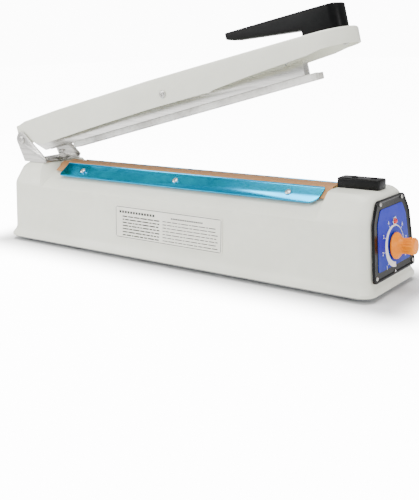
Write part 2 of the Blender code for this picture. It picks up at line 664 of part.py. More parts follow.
def build_panel():
    """Bezel, label, screws, knob and its shaft."""
    bezel = panel_plate(panel_outline(0.0), GAP, PANEL_THICK, "control_panel", BLACK, 0.35)
    label = panel_plate(panel_outline(0.0075), PANEL_THICK - 0.0003, PANEL_THICK + 0.0001,
                        "panel_label", (0.03, 0.07, 0.60, 1), 0.3)
    pocket = outline_plate(panel_outline(0.0072), 0.002)
    pocket.transform(Matrix.Rotation(-math.pi / 2, 4, "X"))
    pocket.transform(on_panel(KNOB_Z) @ Matrix.Translation((0, 0, PANEL_THICK + 0.0004)))
    cut(bezel, cutter("label_pocket", pocket))
    knob_place, lamp_place = on_panel(KNOB_Z, 0.0, KNOB_Y), on_panel(LAMP_Z, 0.0, LAMP_Y)
    through = rods((knob_place @ Vector((0, 0, -0.002)), knob_place @ Vector((0, 0, 0.01)), 0.0050),
                   (lamp_place @ Vector((0, 0, -0.002)), lamp_place @ Vector((0, 0, 0.01)), 0.0028))
    holes = cutter("panel_holes", through)
    cut(bezel, holes)
    cut(label, holes)
    spots = []
    for height, y in ((0.0700, 0.0195), (0.0140, 0.0335)):
        spots += [(height, -y), (height, y)]
    screw = turned([(0, 0.0008), (0.0010, 0.0008), (0.0017, 0), (0, 0)], 10)
    places = [on_panel(height, PANEL_THICK + GAP, y) for height, y in spots]
    repeated(numbered("panel_screw", 4), screw, places, (0.25, 0.25, 0.25, 1), 0.3, 0.9)

    lean = math.atan(END_LEAN)
    origin = on_panel(KNOB_Z, PANEL_THICK, KNOB_Y).translation
    knob_axis = empty("knob_axis", origin + world_frame.location, math.pi / 2 - lean)
    r, length = KNOB_RADIUS, KNOB_LENGTH
    knob = turned([(0, length), (r * 0.50, length), (r * 0.60, length * 0.95), (r * 0.64, length * 0.80),
                   (r * 0.58, length * 0.45), (r * 0.70, length * 0.22), (r * 0.98, length * 0.10),
                   (r, length * 0.05), (r * 0.96, 0.0005), (0, 0.0005)], 20)
    knob = piece("timer_knob", knob, (0.95, 0.42, 0.01, 1), 0.35, 0, knob_axis)
    cut(knob, cutter("knob_bore", rods(((0, 0, -0.001), (0, 0, 0.0120), 0.0024)), knob_axis))
    shaft = rods(((0, 0, -0.0085), (0, 0, 0.0115), 0.0021))
    piece("knob_shaft", shaft, STEEL, 0.35, 1.0, knob_axis)


def build_rating_label():
    """Plain printed foil on the front wall."""
    low, high = 0.0156, 0.0478
    lean = (LIP_HALF_WIDTH - CREASE_HALF_WIDTH) / (CREASE_Z - LIP_TOP_Z)

    def wall_y(height):
        return -(LIP_HALF_WIDTH - lean * (height - LIP_TOP_Z))

    section = [(wall_y(low) - GAP, low), (wall_y(high) - GAP, high),
               (wall_y(high) - GAP - 0.0002, high), (wall_y(low) - GAP - 0.0002, low)]
    foil = outline_plate(section, 0.1294)
    place = Matrix.Translation((0.0013, 0, 0)) @ Matrix.Rotation(math.pi / 2, 4, "Z")
    piece("rating_label", moved(foil, place), (0.80, 0.79, 0.72, 1), 0.5)


# ---- hinge -----------------------------------------------------------------------------------------
def build_hinge_bracket():
    """U bracket with two ears, its screws, the pin and the nut."""
    floor = ROOF_Z + GAP
    outer = EAR_INNER_Y + EAR_THICK
    half = outer - EAR_THICK / 2
    base = boxes(((BRACKET_LEFT + 0.006 + JOIN, -half, floor + JOIN),
                  (BRACKET_RIGHT - JOIN, half, floor + EAR_THICK)))
    ear = [(BRACKET_LEFT + 0.006, floor), (BRACKET_RIGHT - 0.003, floor), (BRACKET_RIGHT, floor + 0.003),
           (BRACKET_RIGHT, floor + 0.0045)]
    ear += arc((HINGE_X, HINGE_Z), EAR_RADIUS, 40, 190, 9)
    bracket = piece("hinge_bracket", base, STEEL, 0.35, 1.0)
    for name, side in (("near_ear", -1), ("far_ear", 1)):
        plate = outline_plate(ear, EAR_THICK, side * (EAR_INNER_Y + EAR_THICK / 2))
        cut(bracket, cutter(name, plate), "UNION")
    holes = bmesh.new()
    add_rod(holes, (HINGE_X, -0.03, HINGE_Z), (HINGE_X, 0.03, HINGE_Z), HINGE_RADIUS + 0.0001, 16)
    add_box(holes, (-0.1925, -0.0055, 0.070), (-0.1700, 0.0055, 0.090))
    for x, y in BRACKET_SCREWS:
        add_rod(holes, (x, y, 0.070), (x, y, 0.084), 0.0019, 10)
    cut(bracket, cutter("bracket_holes", finish_mesh(holes)))
    screw = pan_screw(0.0030, 0.0016, 0.0014, 0.0060, 8)
    seats = [Matrix.Translation((x, y, floor + EAR_THICK + GAP)) for x, y in BRACKET_SCREWS]
    repeated(numbered("hinge_bracket_screw", 2), screw, seats, STEEL, 0.3, 1.0)

    outward = Matrix.Translation((HINGE_X, 0, HINGE_Z)) @ Matrix.Rotation(math.pi / 2, 4, "X")
    head = outer + GAP
    pin = turned([(0, head + 0.0014), (0.0034, head + 0.0014), (0.0044, head + 0.0006), (0.0044, head),
                  (HINGE_RADIUS, head), (HINGE_RADIUS, -head - 0.0045), (0, -head - 0.0045)], 16)
    piece("hinge_pin", moved(pin, outward), STEEL, 0.3, 1.0)
    nut = outline_plate(arc((HINGE_X, HINGE_Z), 0.0050, 0, 300, 5), 0.0034, head + 0.0017,
                        [arc((HINGE_X, HINGE_Z), HINGE_RADIUS + 0.0001, 0, 337.5, 15)[::-1]])
    piece("hinge_pin_nut", nut, STEEL, 0.35, 1.0)


# ---- press bar, in the arm's own frame: origin on the pin, +X along the closed arm --------------------
SEAM_Z = CLOTH_Z + CLOTH_THICK + GAP + SILICONE_THICK + GAP - HINGE_Z


def slot_outline(x, low, high, radius, steps=4):
    """An upright slot with round ends."""
    return arc((x, high), radius, 0, 180, steps) + arc((x, low), radius, 180, 360, steps)


def build_press_bar():
    """Bent channel with hinge lugs, silicone strip and bushes."""
    reach = GUIDE_X * math.tan(OVER_TRAVEL)
    top = -0.0048                   # the walls run up under the cover's skirt
    wall = [(-0.0040, -0.0060), (0.0100, SEAM_Z), (BAR_RIGHT, SEAM_Z), (BAR_RIGHT, -0.0030),
            (0.3250, -0.0048), (0.3200, top)]
    wall += [(GUIDE_X + 0.0080, top), (GUIDE_X + 0.0055, 0.0045), (GUIDE_X - 0.0055, 0.0045),
             (GUIDE_X - 0.0080, top), (0.0700, top), (0.0500, -0.0060)]
    wall += arc((0, 0), 0.0072, 60, 215, 8)
    slot = slot_outline(GUIDE_X, GUIDE_Z - reach - GAP, GUIDE_Z + GAP, GUIDE_RADIUS + 0.0004)
    bore = arc((0, 0), HINGE_RADIUS + 0.0003, 0, 337.5, 15)
    web_half = BAR_HALF_WIDTH - BAR_WALL / 2
    web = boxes(((0.0160, -web_half, SEAM_Z + JOIN), (BAR_RIGHT - JOIN, web_half, SEAM_Z + BAR_WALL)))
    bar = piece("press_bar_channel", web, (0.75, 0.75, 0.73, 1), 0.3, 0.9, hinge_axis)
    for name, side in (("bar_wall_near", -1), ("bar_wall_far", 1)):
        middle = side * (BAR_HALF_WIDTH - BAR_WALL / 2)
        plate = outline_plate(wall, BAR_WALL, middle, [slot[::-1], bore[::-1]])
        cut(bar, cutter(name, plate, hinge_axis), "UNION")
    end = boxes(((BAR_RIGHT - BAR_WALL, -web_half, SEAM_Z + JOIN), (BAR_RIGHT - JOIN, web_half, -0.0034)))
    cut(bar, cutter("bar_end", end, hinge_axis), "UNION")
    peg = SEAM_Z + 0.0034
    hole = rods(((BAR_RIGHT - 0.004, 0, peg), (BAR_RIGHT + 0.002, 0, peg), 0.0008), sides=8)
    cut(bar, cutter("bar_end_hole", hole, hinge_axis))

    under = SEAM_Z - GAP
    half = SILICONE_HALF_WIDTH
    section = [(-half, under - 0.0010), (-half, under), (half, under), (half, under - 0.0010),
               (half * 0.82, under - SILICONE_THICK), (-half * 0.82, under - SILICONE_THICK)]
    rubber = outline_plate(section, SILICONE_RIGHT - SILICONE_LEFT)
    place = Matrix.Translation(((SILICONE_LEFT + SILICONE_RIGHT) / 2, 0, 0))
    rubber.transform(place @ Matrix.Rotation(math.pi / 2, 4, "Z"))
    piece("silicone_strip", rubber, (0.62, 0.60, 0.57, 1), 0.6, 0, hinge_axis)

    gap_in, gap_out = BAR_HALF_WIDTH + GAP, COVER_HALF_WIDTH - COVER_WALL - GAP
    bush = turned([(HINGE_RADIUS + 0.0003, gap_out), (0.0046, gap_out), (0.0046, gap_in),
                   (HINGE_RADIUS + 0.0003, gap_in), (HINGE_RADIUS + 0.0003, gap_out)], 14)
    flips = [Matrix.Rotation(turn, 4, "X") for turn in (math.pi / 2, -math.pi / 2)]
    repeated(("hinge_bush_near", "hinge_bush_far"), bush, flips, (0.78, 0.60, 0.30, 1), 0.4, 0.9,
             hinge_axis)


# ---- arm, in the same frame -------------------------------------------------------------------------
ROOF_LINE = [(-0.0035, 0.0160), (0.0080, 0.0182), (0.0600, 0.0190), (0.1900, 0.0178), (0.2500, 0.0162),
             (0.3490, 0.0132), (COVER_LENGTH, 0.0114)]
SKIRT_LINE = [(COVER_LENGTH, -0.0013), (0.3750, -0.0013), (0.3620, -0.0030), (0.3060, -0.0051),
              (0.2640, -0.0076), (0.2600, -0.0088), (0.2520, -0.0084), (0.1900, -0.0076),
              (0.1200, -0.0084), (0.0300, -0.0104), (0.0160, -0.0062),
              (-0.0020, -0.0060), (-0.0060, 0.0)]


def build_cover():
    """The pressed arm cover: a side outline cut to a round-ended plan, then hollowed."""
    side = ROOF_LINE + SKIRT_LINE
    block = outline_plate(side, 2 * COVER_HALF_WIDTH)
    cover = piece("arm_cover", block, WHITE, 0.38, 0, hinge_axis)

    def plan(width, tip, low, high, tail):
        centre = tip - width
        outline = [(tail, -width)] + arc((centre, 0), width, -90, 90, 12) + [(tail, width)]
        body = outline_plate(outline, high - low)
        body.transform(Matrix.Rotation(-math.pi / 2, 4, "X"))
        body.transform(Matrix.Translation((0, 0, (low + high) / 2)))
        return body

    cut(cover, cutter("cover_plan", plan(COVER_HALF_WIDTH, COVER_LENGTH, -0.03, 0.03, -0.02), hinge_axis),
        "INTERSECT")
    inner = [(x - (0.004 if i == 0 else 0), z - COVER_WALL) for i, (x, z) in enumerate(ROOF_LINE)]
    inner = [(x, z) for x, z in inner] + [(COVER_LENGTH, -0.03), (-0.0075, -0.03)]
    hollow = cutter("cover_hollow", outline_plate(inner, 2 * (COVER_HALF_WIDTH - COVER_WALL)), hinge_axis)
    inside = plan(COVER_HALF_WIDTH - COVER_WALL, COVER_LENGTH - COVER_WALL, -0.05, 0.03, -0.02)
    cut(hollow, cutter("hollow_plan", inside, hinge_axis), "INTERSECT")
    cut(cover, hollow)
    width = COVER_HALF_WIDTH + 0.004
    holes = rods(((0, -width, 0), (0, width, 0), HINGE_RADIUS + 0.0003),
                 ((GUIDE_X, -width, GUIDE_Z), (GUIDE_X, width, GUIDE_Z), GUIDE_RADIUS + 0.0002),
                 ((ACTUATOR_X, 0, 0), (ACTUATOR_X, 0, 0.03), 0.0022),
                 *[((x, 0, 0), (x, 0, 0.03), 0.0020) for x in HANDLE_SCREWS])
    cut(cover, cutter("cover_holes", holes, hinge_axis))


ACTUATOR_X = 0.3855
HANDLE_SCREWS = (0.3615, 0.3765)


def roof_height(x):
    """Height of the cover's roof at a place along the arm."""
    for (x0, z0), (x1, z1) in zip(ROOF_LINE, ROOF_LINE[1:]):
        if x0 <= x <= x1:
            return z0 + (z1 - z0) * (x - x0) / (x1 - x0)
    return ROOF_LINE[-1][1]


def build_handle():
    """Grip that reaches back over the arm from its foot, and its two screws."""
    foot_left, foot_right = 0.3537, 0.3900
    seat = [(x, roof_height(x) + GAP) for x in (foot_left, foot_right)]
    outline = [(0.2776, 0.0377), (0.2776, 0.0318), (0.2857, 0.0290), (0.3528, 0.0189)] + seat
    outline += [(foot_right, 0.0300), (foot_right - 0.0015, 0.0314), (0.3840, 0.0321)]
    handle = piece("handle", outline_plate(outline, 2 * HANDLE_HALF_WIDTH), BLACK, 0.22, 0, hinge_axis)
    width = HANDLE_HALF_WIDTH
    plan = [(0.2700, -width * 0.72), (0.3350, -width)]
    plan += arc((foot_right - width, 0), width, -90, 90, 10) + [(0.3350, width), (0.2700, width * 0.72)]
    top = outline_plate(plan, 0.12)
    top.transform(Matrix.Rotation(-math.pi / 2, 4, "X"))
    cut(handle, cutter("handle_plan", top, hinge_axis), "INTERSECT")
    bores = rods(*[((x, 0, 0.010), (x, 0, 0.0235), 0.0017) for x in HANDLE_SCREWS])
    cut(handle, cutter("handle_bores", bores, hinge_axis))
    screw = pan_screw(0.0032, 0.0016, 0.0014, 0.0100, 10)
    flip = Matrix.Rotation(math.pi, 4, "X")
    places = [Matrix.Translation((x, 0, roof_height(x) - COVER_WALL - 0.0005)) @ flip
              for x in HANDLE_SCREWS]
    repeated(numbered("handle_screw", 2), screw, places, STEEL, 0.3, 1.0, hinge_axis)


def build_arm_fittings():
    """Guide bolt, its nut and the actuator pin."""
    head = COVER_HALF_WIDTH + GAP
    turn = Matrix.Translation((GUIDE_X, 0, GUIDE_Z)) @ Matrix.Rotation(math.pi / 2, 4, "X")
    bolt = turned([(0, head + 0.0016), (0.0021, head + 0.0016), (0.0033, head + 0.0008), (0.0035, head),
                   (GUIDE_RADIUS, head), (GUIDE_RADIUS, -head - 0.0040), (0, -head - 0.0040)])
    piece("guide_bolt", moved(bolt, turn), STEEL, 0.25, 1.0, hinge_axis)
    nut = outline_plate(arc((GUIDE_X, GUIDE_Z), 0.0040, 0, 300, 5), 0.0030, head + 0.0015,
                        [arc((GUIDE_X, GUIDE_Z), GUIDE_RADIUS + 0.0001, 0, 330, 11)[::-1]])
    piece("guide_bolt_nut", nut, STEEL, 0.35, 1.0, hinge_axis)
    roof = roof_height(ACTUATOR_X) - COVER_WALL
    pin = turned([(0, roof + 0.0010), (0.0018, roof + 0.0010), (0.0018, 0.0010), (0.0024, 0.0006),
                  (0.0024, -0.0008), (0.0015, -0.0013), (0, -0.0013)])
    piece("actuator_pin", moved(pin, Matrix.Translation((ACTUATOR_X, 0, 0))), STEEL, 0.3, 1.0, hinge_axis)


# ---- springs -------------------------------------------------------------------------------------
def build_springs():
    """Lift spring under the bar and pressure spring between bar and cover."""
    foot = Vector((HINGE_X + SPRING_X, 0, 0))
    lowest = 0.0652 + GAP
    lift = coil(0.0034, 0.0011, lowest, HINGE_Z - 0.0112, 6)
    piece("lift_spring", moved(lift, Matrix.Translation(foot)), STEEL, 0.3, 1.0)
    under_roof = roof_height(PRESSURE_SPRING_X) - COVER_WALL - 0.0006
    push = coil(0.0026, 0.0008, SEAM_Z + BAR_WALL + GAP, under_roof, 6)
    piece("pressure_spring", moved(push, Matrix.Translation((PRESSURE_SPRING_X, 0, 0))), STEEL, 0.3, 1.0,
          hinge_axis)


build_body_shell()
build_base()
build_sealing_line()
build_switch()
build_power_parts()
build_panel()
build_rating_label()
build_hinge_bracket()
build_press_bar()
build_cover()
build_handle()
build_arm_fittings()
build_springs()
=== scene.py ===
"""The finished look of an impulse heat sealer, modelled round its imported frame.

+X runs from the hinge to the control panel, -Y is the operator's side, +Z is up, in metres.
Pieces of the arm are modelled in the arm's own frame (origin on the hinge pin, +X along the
closed arm) and are then laid back to the open position.
"""

import json
import math
import random

import bmesh
import bpy
from mathutils import Matrix, Vector


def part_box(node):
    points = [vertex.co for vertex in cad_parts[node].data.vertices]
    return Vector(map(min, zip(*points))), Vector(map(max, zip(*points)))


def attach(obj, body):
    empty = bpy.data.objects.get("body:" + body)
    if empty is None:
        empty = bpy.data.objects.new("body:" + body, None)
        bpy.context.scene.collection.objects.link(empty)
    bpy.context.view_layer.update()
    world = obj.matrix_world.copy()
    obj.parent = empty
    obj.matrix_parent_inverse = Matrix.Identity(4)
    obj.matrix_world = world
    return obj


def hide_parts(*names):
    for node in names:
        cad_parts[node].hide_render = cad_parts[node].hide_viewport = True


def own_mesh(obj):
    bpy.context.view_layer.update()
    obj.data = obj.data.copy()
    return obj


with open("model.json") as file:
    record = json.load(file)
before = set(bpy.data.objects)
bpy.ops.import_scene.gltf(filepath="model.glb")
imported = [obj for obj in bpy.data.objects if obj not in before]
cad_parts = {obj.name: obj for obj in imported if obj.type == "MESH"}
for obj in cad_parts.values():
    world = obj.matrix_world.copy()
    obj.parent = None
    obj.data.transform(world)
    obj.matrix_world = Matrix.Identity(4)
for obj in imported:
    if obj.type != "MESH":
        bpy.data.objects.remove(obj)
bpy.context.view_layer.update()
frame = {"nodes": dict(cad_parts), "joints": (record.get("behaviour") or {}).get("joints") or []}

bl_info = {
    "name": "Impulse heat sealer",
    "version": (1, 0, 0),
    "blender": (4, 5, 0),
    "location": "3D View > Sidebar > Sealer",
    "description": "Models a hinged bench-top bag sealer in detail round its working frame",
    "category": "Object",
}

# ---- what the frame says ------------------------------------------------------------------------
JOINTS = {joint["name"]: joint for joint in frame["joints"]}
PIN = Vector(JOINTS["press_bar_hinge"]["pos_m"])
OPEN_ANGLE = math.radians(JOINTS["press_bar_hinge"]["range_deg"][1])
KNOB_SEAT = Vector(JOINTS["timer_turn"]["pos_m"])
PANEL_OUT = Vector(JOINTS["timer_turn"]["axis"]).normalized()
SHELL_LOW, SHELL_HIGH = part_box("body_shell")
STRIP_LOW, STRIP_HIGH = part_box("front_clamp_strip")
CLOTH_LOW, CLOTH_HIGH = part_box("ptfe_cloth")
BLOCK_LOW, BLOCK_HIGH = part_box("switch_block")
BED_LOW, BED_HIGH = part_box("sealing_bed")
LABEL_LOW, LABEL_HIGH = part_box("rating_label")

ARM = Matrix.Translation(PIN) @ Matrix.Rotation(-OPEN_ANGLE, 4, "Y")
PANEL_UP = Vector((-PANEL_OUT.z, 0, PANEL_OUT.x))
PANEL_THICK = 0.0026
# the panel's own frame: X to the viewer's right, Y up the panel, Z out of it, at the knob
PANEL = Matrix.Translation(KNOB_SEAT) @ Matrix(
    (Vector((0, 1, 0)), PANEL_UP, PANEL_OUT)).transposed().to_4x4()

LAND_SLOPE = 0.6585                 # the land falls by this much for each unit of width
LAND_TILT = math.atan(LAND_SLOPE)
LAND_RIDGE = 0.0095                 # half width of the flat along the land's top
LAND_TOP = SHELL_LOW.z + 0.0752
LAND_ENDS = (PIN.x + 0.0415, PIN.x + 0.3700)

COVER_HALF_WIDTH = 0.0232
COVER_TIP = 0.3960
ROOF_LINE = [(-0.0035, 0.0160), (0.0080, 0.0182), (0.0600, 0.0190), (0.1900, 0.0178),
             (0.2500, 0.0162), (0.3490, 0.0132), (COVER_TIP, 0.0114)]
SKIRT_LINE = [(-0.0060, -0.0040), (-0.0020, -0.0060), (0.0160, -0.0062), (0.0300, -0.0104),
              (0.1200, -0.0084), (0.1900, -0.0076), (0.2520, -0.0084), (0.2600, -0.0088),
              (0.2640, -0.0076), (0.3060, -0.0051), (0.3620, -0.0030), (0.3750, -0.0013),
              (COVER_TIP, -0.0013)]
GUIDE = Vector((0.2080, 0, 0.0015))  # guide bolt in the arm's frame
SILICONE_TOP = -0.0160              # underside of the press bar in the arm's frame

END_FOOT = 0.4203                   # foot of the panel end, from the pin
END_LEAN = 0.097                    # how far the panel end leans in for each unit up
LIP_TOP = 0.0080                    # where the shell's walls rise from its lip
STRIP_LIFT = 0.0028                 # underside of a clamp strip above the pressed sheet
SCREW_PITCH = 0.1233                # distance between a clamp strip's screws
SCREW_ACROSS = 0.0183               # a clamp strip's screws from the machine's middle

CAMERA_FROM_PIN = Vector((0.67954, -0.57342, 0.09513))
CAMERA_YAW, CAMERA_PITCH, CAMERA_ROLL = 0.663, 0.258, -0.032


def centre_of(node):
    """The middle of a frame node's box."""
    low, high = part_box(node)
    return (low + high) / 2


# ---- settings -----------------------------------------------------------------------------------
def length(name, description, default):
    """A length in metres that a user can change."""
    return bpy.props.FloatProperty(name=name, description=description, default=default, min=0.0,
                                   precision=5, unit="LENGTH", subtype="DISTANCE")


def colour(name, description, default):
    """A colour that a user can change."""
    return bpy.props.FloatVectorProperty(name=name, description=description, default=default,
                                         size=3, min=0.0, max=1.0, subtype="COLOR")


def amount(name, description, default, unit="NONE"):
    """A strength or a power that a user can change."""
    return bpy.props.FloatProperty(name=name, description=description, default=default, min=0.0,
                                   unit=unit)


class SealerCaseSettings(bpy.types.PropertyGroup):
    """Sizes and colours of the painted casing."""
    wall: length("Wall", "Thickness of the body shell's sheet", 0.0012)
    corner: length("Corner radius", "Radius of the shell's upright corners", 0.0105)
    crease: length("Crease radius", "Rounding of the pressed crease along the shell", 0.0030)
    cover_wall: length("Cover wall", "Thickness of the arm cover's sheet", 0.0013)
    cover_edge: length("Cover edge", "Rounding of the cover's top edges", 0.0030)
    paint: colour("Paint", "Powder coat on the shell and the arm cover", (0.860, 0.865, 0.755))
    paint_shade: colour("Paint, handled", "Powder coat where hands have dulled it",
                        (0.800, 0.806, 0.695))


class SealerLineSettings(bpy.types.PropertyGroup):
    """Sizes and colours of the sealing line."""
    strip_thick: length("Strip", "Thickness of a clamp strip", 0.0012)
    hem: length("Strip hem", "Height of the rolled hem on a clamp strip's inner edge", 0.0009)
    cloth_thick: length("Cloth", "Thickness of the coated cloth", 0.00025)
    strip: colour("Strip", "Anodised clamp strip", (0.000, 0.520, 0.880))
    strip_shade: colour("Strip, deep", "Anodised clamp strip where the dye is deepest",
                        (0.000, 0.330, 0.640))
    cloth: colour("Cloth", "Coated glass cloth", (0.640, 0.330, 0.140))
    cloth_shade: colour("Cloth, thread", "Darker threads of the cloth", (0.440, 0.210, 0.085))
    silicone: colour("Silicone", "Press bar's silicone strip", (0.930, 0.920, 0.880))


class SealerFittingSettings(bpy.types.PropertyGroup):
    """Sizes and colours of the mouldings, metalwork and controls."""
    grip_edge: length("Grip edge", "Rounding of the handle's edges", 0.0013)
    block_edge: length("Block edge", "Chamfer round the top of the switch block", 0.0013)
    flute_depth: length("Flute depth", "Depth of the grooves round the knob's grip", 0.00045)
    black: colour("Black", "Black mouldings", (0.0022, 0.0022, 0.0024))
    black_shade: colour("Black, worn", "Black mouldings where handling has dulled them",
                        (0.0060, 0.0060, 0.0063))
    steel: colour("Steel", "Nickel-plated steel", (0.640, 0.630, 0.600))
    knob: colour("Knob", "Amber knob", (1.000, 0.300, 0.000))
    print_blue: colour("Print, blue", "Panel film at its lower edge", (0.002, 0.018, 0.330))
    print_violet: colour("Print, violet", "Panel film at its upper edge", (0.010, 0.018, 0.430))
    foil: colour("Foil", "Rating label", (0.900, 0.890, 0.800))


class SealerStageSettings(bpy.types.PropertyGroup):
    """Floor, lights and camera."""
    floor: colour("Floor", "Floor and backdrop", (0.930, 0.930, 0.930))
    glow: amount("Floor glow", "Light that the floor gives off", 12.0)
    key: amount("Key light", "Power of the overhead softbox", 21.0, "POWER")
    fill: amount("Fill light", "Power of the front softbox", 13.0, "POWER")
    sky: amount("Surround", "Strength of the white surround", 0.55)
    backdrop: amount("Backdrop", "Brightness of the white behind", 12.0)
    lens: bpy.props.FloatProperty(name="Lens", description="Focal length in millimetres",
                                  default=56.63, min=1.0)


# ---- modelling helpers --------------------------------------------------------------------------
def clear_selection():
    """Leave edit mode with nothing selected."""
    if bpy.context.object and bpy.context.object.mode != "OBJECT":
        bpy.ops.object.mode_set(mode="OBJECT")
    bpy.ops.object.select_all(action="DESELECT")


def hold(piece):
    """Make one object the only one selected, and active."""
    clear_selection()
    piece.hide_set(False)
    piece.select_set(True)
    bpy.context.view_layer.objects.active = piece


def freeze(piece, place=None):
    """Put a piece at its place and write the place into its mesh."""
    hold(piece)
    if place is not None:
        piece.matrix_world = place @ piece.matrix_world
    bpy.ops.object.transform_apply(location=True, rotation=True, scale=True)


def newest(name):
    """The object just made, renamed."""
    made = bpy.context.object
    made.name = made.data.name = name
    return made


def add_object(name, data):
    """A new object in the scene for its data."""
    made = bpy.data.objects.new(name, data)
    bpy.context.scene.collection.objects.link(made)
    return made


def discard(piece):
    """Remove an object that has served its purpose."""
    bpy.data.objects.remove(piece, do_unlink=True)


def block(name, low, high):
    """A box from its lowest corner to its highest, to be shaped further."""
    clear_selection()
    low, high = Vector(low), Vector(high)
    bpy.ops.mesh.primitive_cube_add(size=1.0, location=(low + high) / 2, scale=high - low)
    made = newest(name)
    freeze(made)
    return made


def barrel(name, radius, low, high, sides=48):
    """A round blank about Z between two heights."""
    clear_selection()
    bpy.ops.mesh.primitive_cylinder_add(vertices=sides, radius=radius, depth=high - low,
                                        location=(0, 0, (low + high) / 2))
    made = newest(name)
    freeze(made)
    return made


def pick(piece, kind, test):
    """Enter edit mode with only the parts that pass the test selected. Returns how many."""
    hold(piece)
    bpy.ops.object.mode_set(mode="EDIT")
    bpy.ops.mesh.select_mode(type=kind)
    bpy.ops.mesh.select_all(action="DESELECT")
    shape = bmesh.from_edit_mesh(piece.data)
    shape.normal_update()
    parts = {"VERT": shape.verts, "EDGE": shape.edges, "FACE": shape.faces}[kind]
    chosen = [part for part in parts if test(part)]
    for part in chosen:
        part.select_set(True)
    shape.select_flush_mode()
    bmesh.update_edit_mesh(piece.data)
    return len(chosen)


def leave():
    """Back to object mode."""
    bpy.ops.object.mode_set(mode="OBJECT")


def shift(x, y, z):
    """Move what is selected."""
    bpy.ops.transform.translate(value=(x, y, z))


def draw_out(x, y, z):
    """Extrude the selected faces."""
    bpy.ops.mesh.extrude_region_move(TRANSFORM_OT_translate={"value": (x, y, z)})


def middle(edge):
    """The middle of an edge."""
    return (edge.verts[0].co + edge.verts[1].co) / 2


def run(edge):
    """The direction of an edge."""
    return (edge.verts[1].co - edge.verts[0].co).normalized()


def upright(edge):
    """Whether an edge stands upright."""
    return abs(run(edge).z) > 0.9


def crease_angle(edge):
    """The angle between an edge's two faces."""
    return edge.calc_face_angle(0.0)


def round_edges(piece, test, width, segments=4):
    """Bevel the edges that pass a test."""
    if pick(piece, "EDGE", test):
        bpy.ops.mesh.bevel(offset=width, offset_type="OFFSET", segments=segments, affect="EDGES",
                           clamp_overlap=True)
    leave()


def slice_at(piece, places, along=(1, 0, 0)):
    """Cut new edge loops square to an axis."""
    along = Vector(along)
    for place in places:
        pick(piece, "FACE", lambda face: True)
        bpy.ops.mesh.bisect(plane_co=along * place, plane_no=along)
        leave()


def slice_off(piece, point, outward):
    """Cut away what lies beyond a plane, and close the cut."""
    pick(piece, "FACE", lambda face: True)
    bpy.ops.mesh.bisect(plane_co=point, plane_no=outward, use_fill=True, clear_outer=True)
    leave()


def along_line(line, x):
    """The height of a broken line at a place."""
    for (x0, z0), (x1, z1) in zip(line, line[1:]):
        if x <= x1:
            return z0 + (z1 - z0) * (max(x, x0) - x0) / (x1 - x0)
    return line[-1][1]


def follow(piece, test, line, flat_level):
    """Raise or lower the points that pass a test from a level to a broken line along X."""
    stations = sorted({round(v.co.x, 6) for v in piece.data.vertices if test(v)})
    for station in stations:
        pick(piece, "VERT", lambda v: abs(v.co.x - station) < 2e-6 and test(v))
        rise = along_line(line, station) - flat_level
        shift(0, 0, rise)
        leave()


def remove_faces(piece, test):
    """Delete the faces that pass a test."""
    if pick(piece, "FACE", test):
        bpy.ops.mesh.delete(type="FACE")
    leave()


def modify(piece, kind, **settings):
    """Add a modifier with its settings and apply it."""
    hold(piece)
    step = piece.modifiers.new(kind.lower(), kind)
    for name, value in settings.items():
        setattr(step, name, value)
    bpy.ops.object.modifier_apply(modifier=step.name)


def soften(piece, width, segments=2, angle=32.0):
    """Round every edge sharper than an angle."""
    modify(piece, "BEVEL", width=width, segments=segments, limit_method="ANGLE",
           angle_limit=math.radians(angle), harden_normals=False)


def thicken(piece, wall):
    """Give an open shell a wall, inwards."""
    modify(piece, "SOLIDIFY", thickness=wall, offset=-1.0, use_even_offset=True)


def carve(piece, tool, operation="DIFFERENCE", solver="EXACT"):
    """Cut a piece with another, which is then removed."""
    modify(piece, "BOOLEAN", operation=operation, object=tool, solver=solver)
    discard(tool)


def drill(piece, start, end, radius, sides=32, solver="EXACT"):
    """Bore a round hole between two points."""
    start, end = Vector(start), Vector(end)
    tool = barrel("bore", radius, 0.0, (end - start).length, sides)
    turn = (end - start).to_track_quat("Z", "Y").to_matrix().to_4x4()
    freeze(tool, Matrix.Translation(start) @ turn)
    carve(piece, tool, solver=solver)


def turn_up(name, profile, sides=48):
    """A turned piece about Z: a blank whose top is drawn up through (radius, height) steps."""
    (radius, low), (next_radius, high) = profile[0], profile[1]
    made = barrel(name, radius, low, high, sides)
    pick(made, "FACE", lambda face: face.normal.z > 0.9)
    bpy.ops.transform.resize(value=(next_radius / radius, next_radius / radius, 1.0),
                             center_override=(0, 0, high))
    for (before, last), (after, height) in zip(profile[1:], profile[2:]):
        draw_out(0, 0, height - last)
        grow = after / before
        bpy.ops.transform.resize(value=(grow, grow, 1.0), center_override=(0, 0, height))
    leave()
    return made


def smooth(piece, angle=35.0):
    """Shade smooth, apart from the sharp edges."""
    hold(piece)
    bpy.ops.object.shade_smooth_by_angle(angle=math.radians(angle), keep_sharp_edges=False)


def copy_of(piece, name, place):
    """A copy with its own mesh, at a place."""
    hold(piece)
    bpy.ops.object.duplicate(linked=False)
    made = newest(name)
    freeze(made, place)
    return made


def joined(name, pieces):
    """Several shapes as one object."""
    clear_selection()
    for piece in pieces:
        piece.select_set(True)
    bpy.context.view_layer.objects.active = pieces[0]
    if len(pieces) > 1:
        bpy.ops.object.join()
    return newest(name)


def traced(node, name, edge=0.0003, segments=2, merged=True):
    """A copy of a frame node with its sharp edges rounded, and its level faces merged first."""
    made = add_object(name, frame["nodes"][node].data.copy())
    pick(made, "VERT", lambda v: True)
    bpy.ops.mesh.remove_doubles(threshold=0.000005)
    if merged:
        bpy.ops.mesh.dissolve_limited(angle_limit=math.radians(1.5))
    leave()
    soften(made, edge, segments)
    return made


def dress(piece, finish):
    """Give a piece a finish and no other."""
    piece.data.materials.clear()
    piece.data.materials.append(FINISHES[finish])


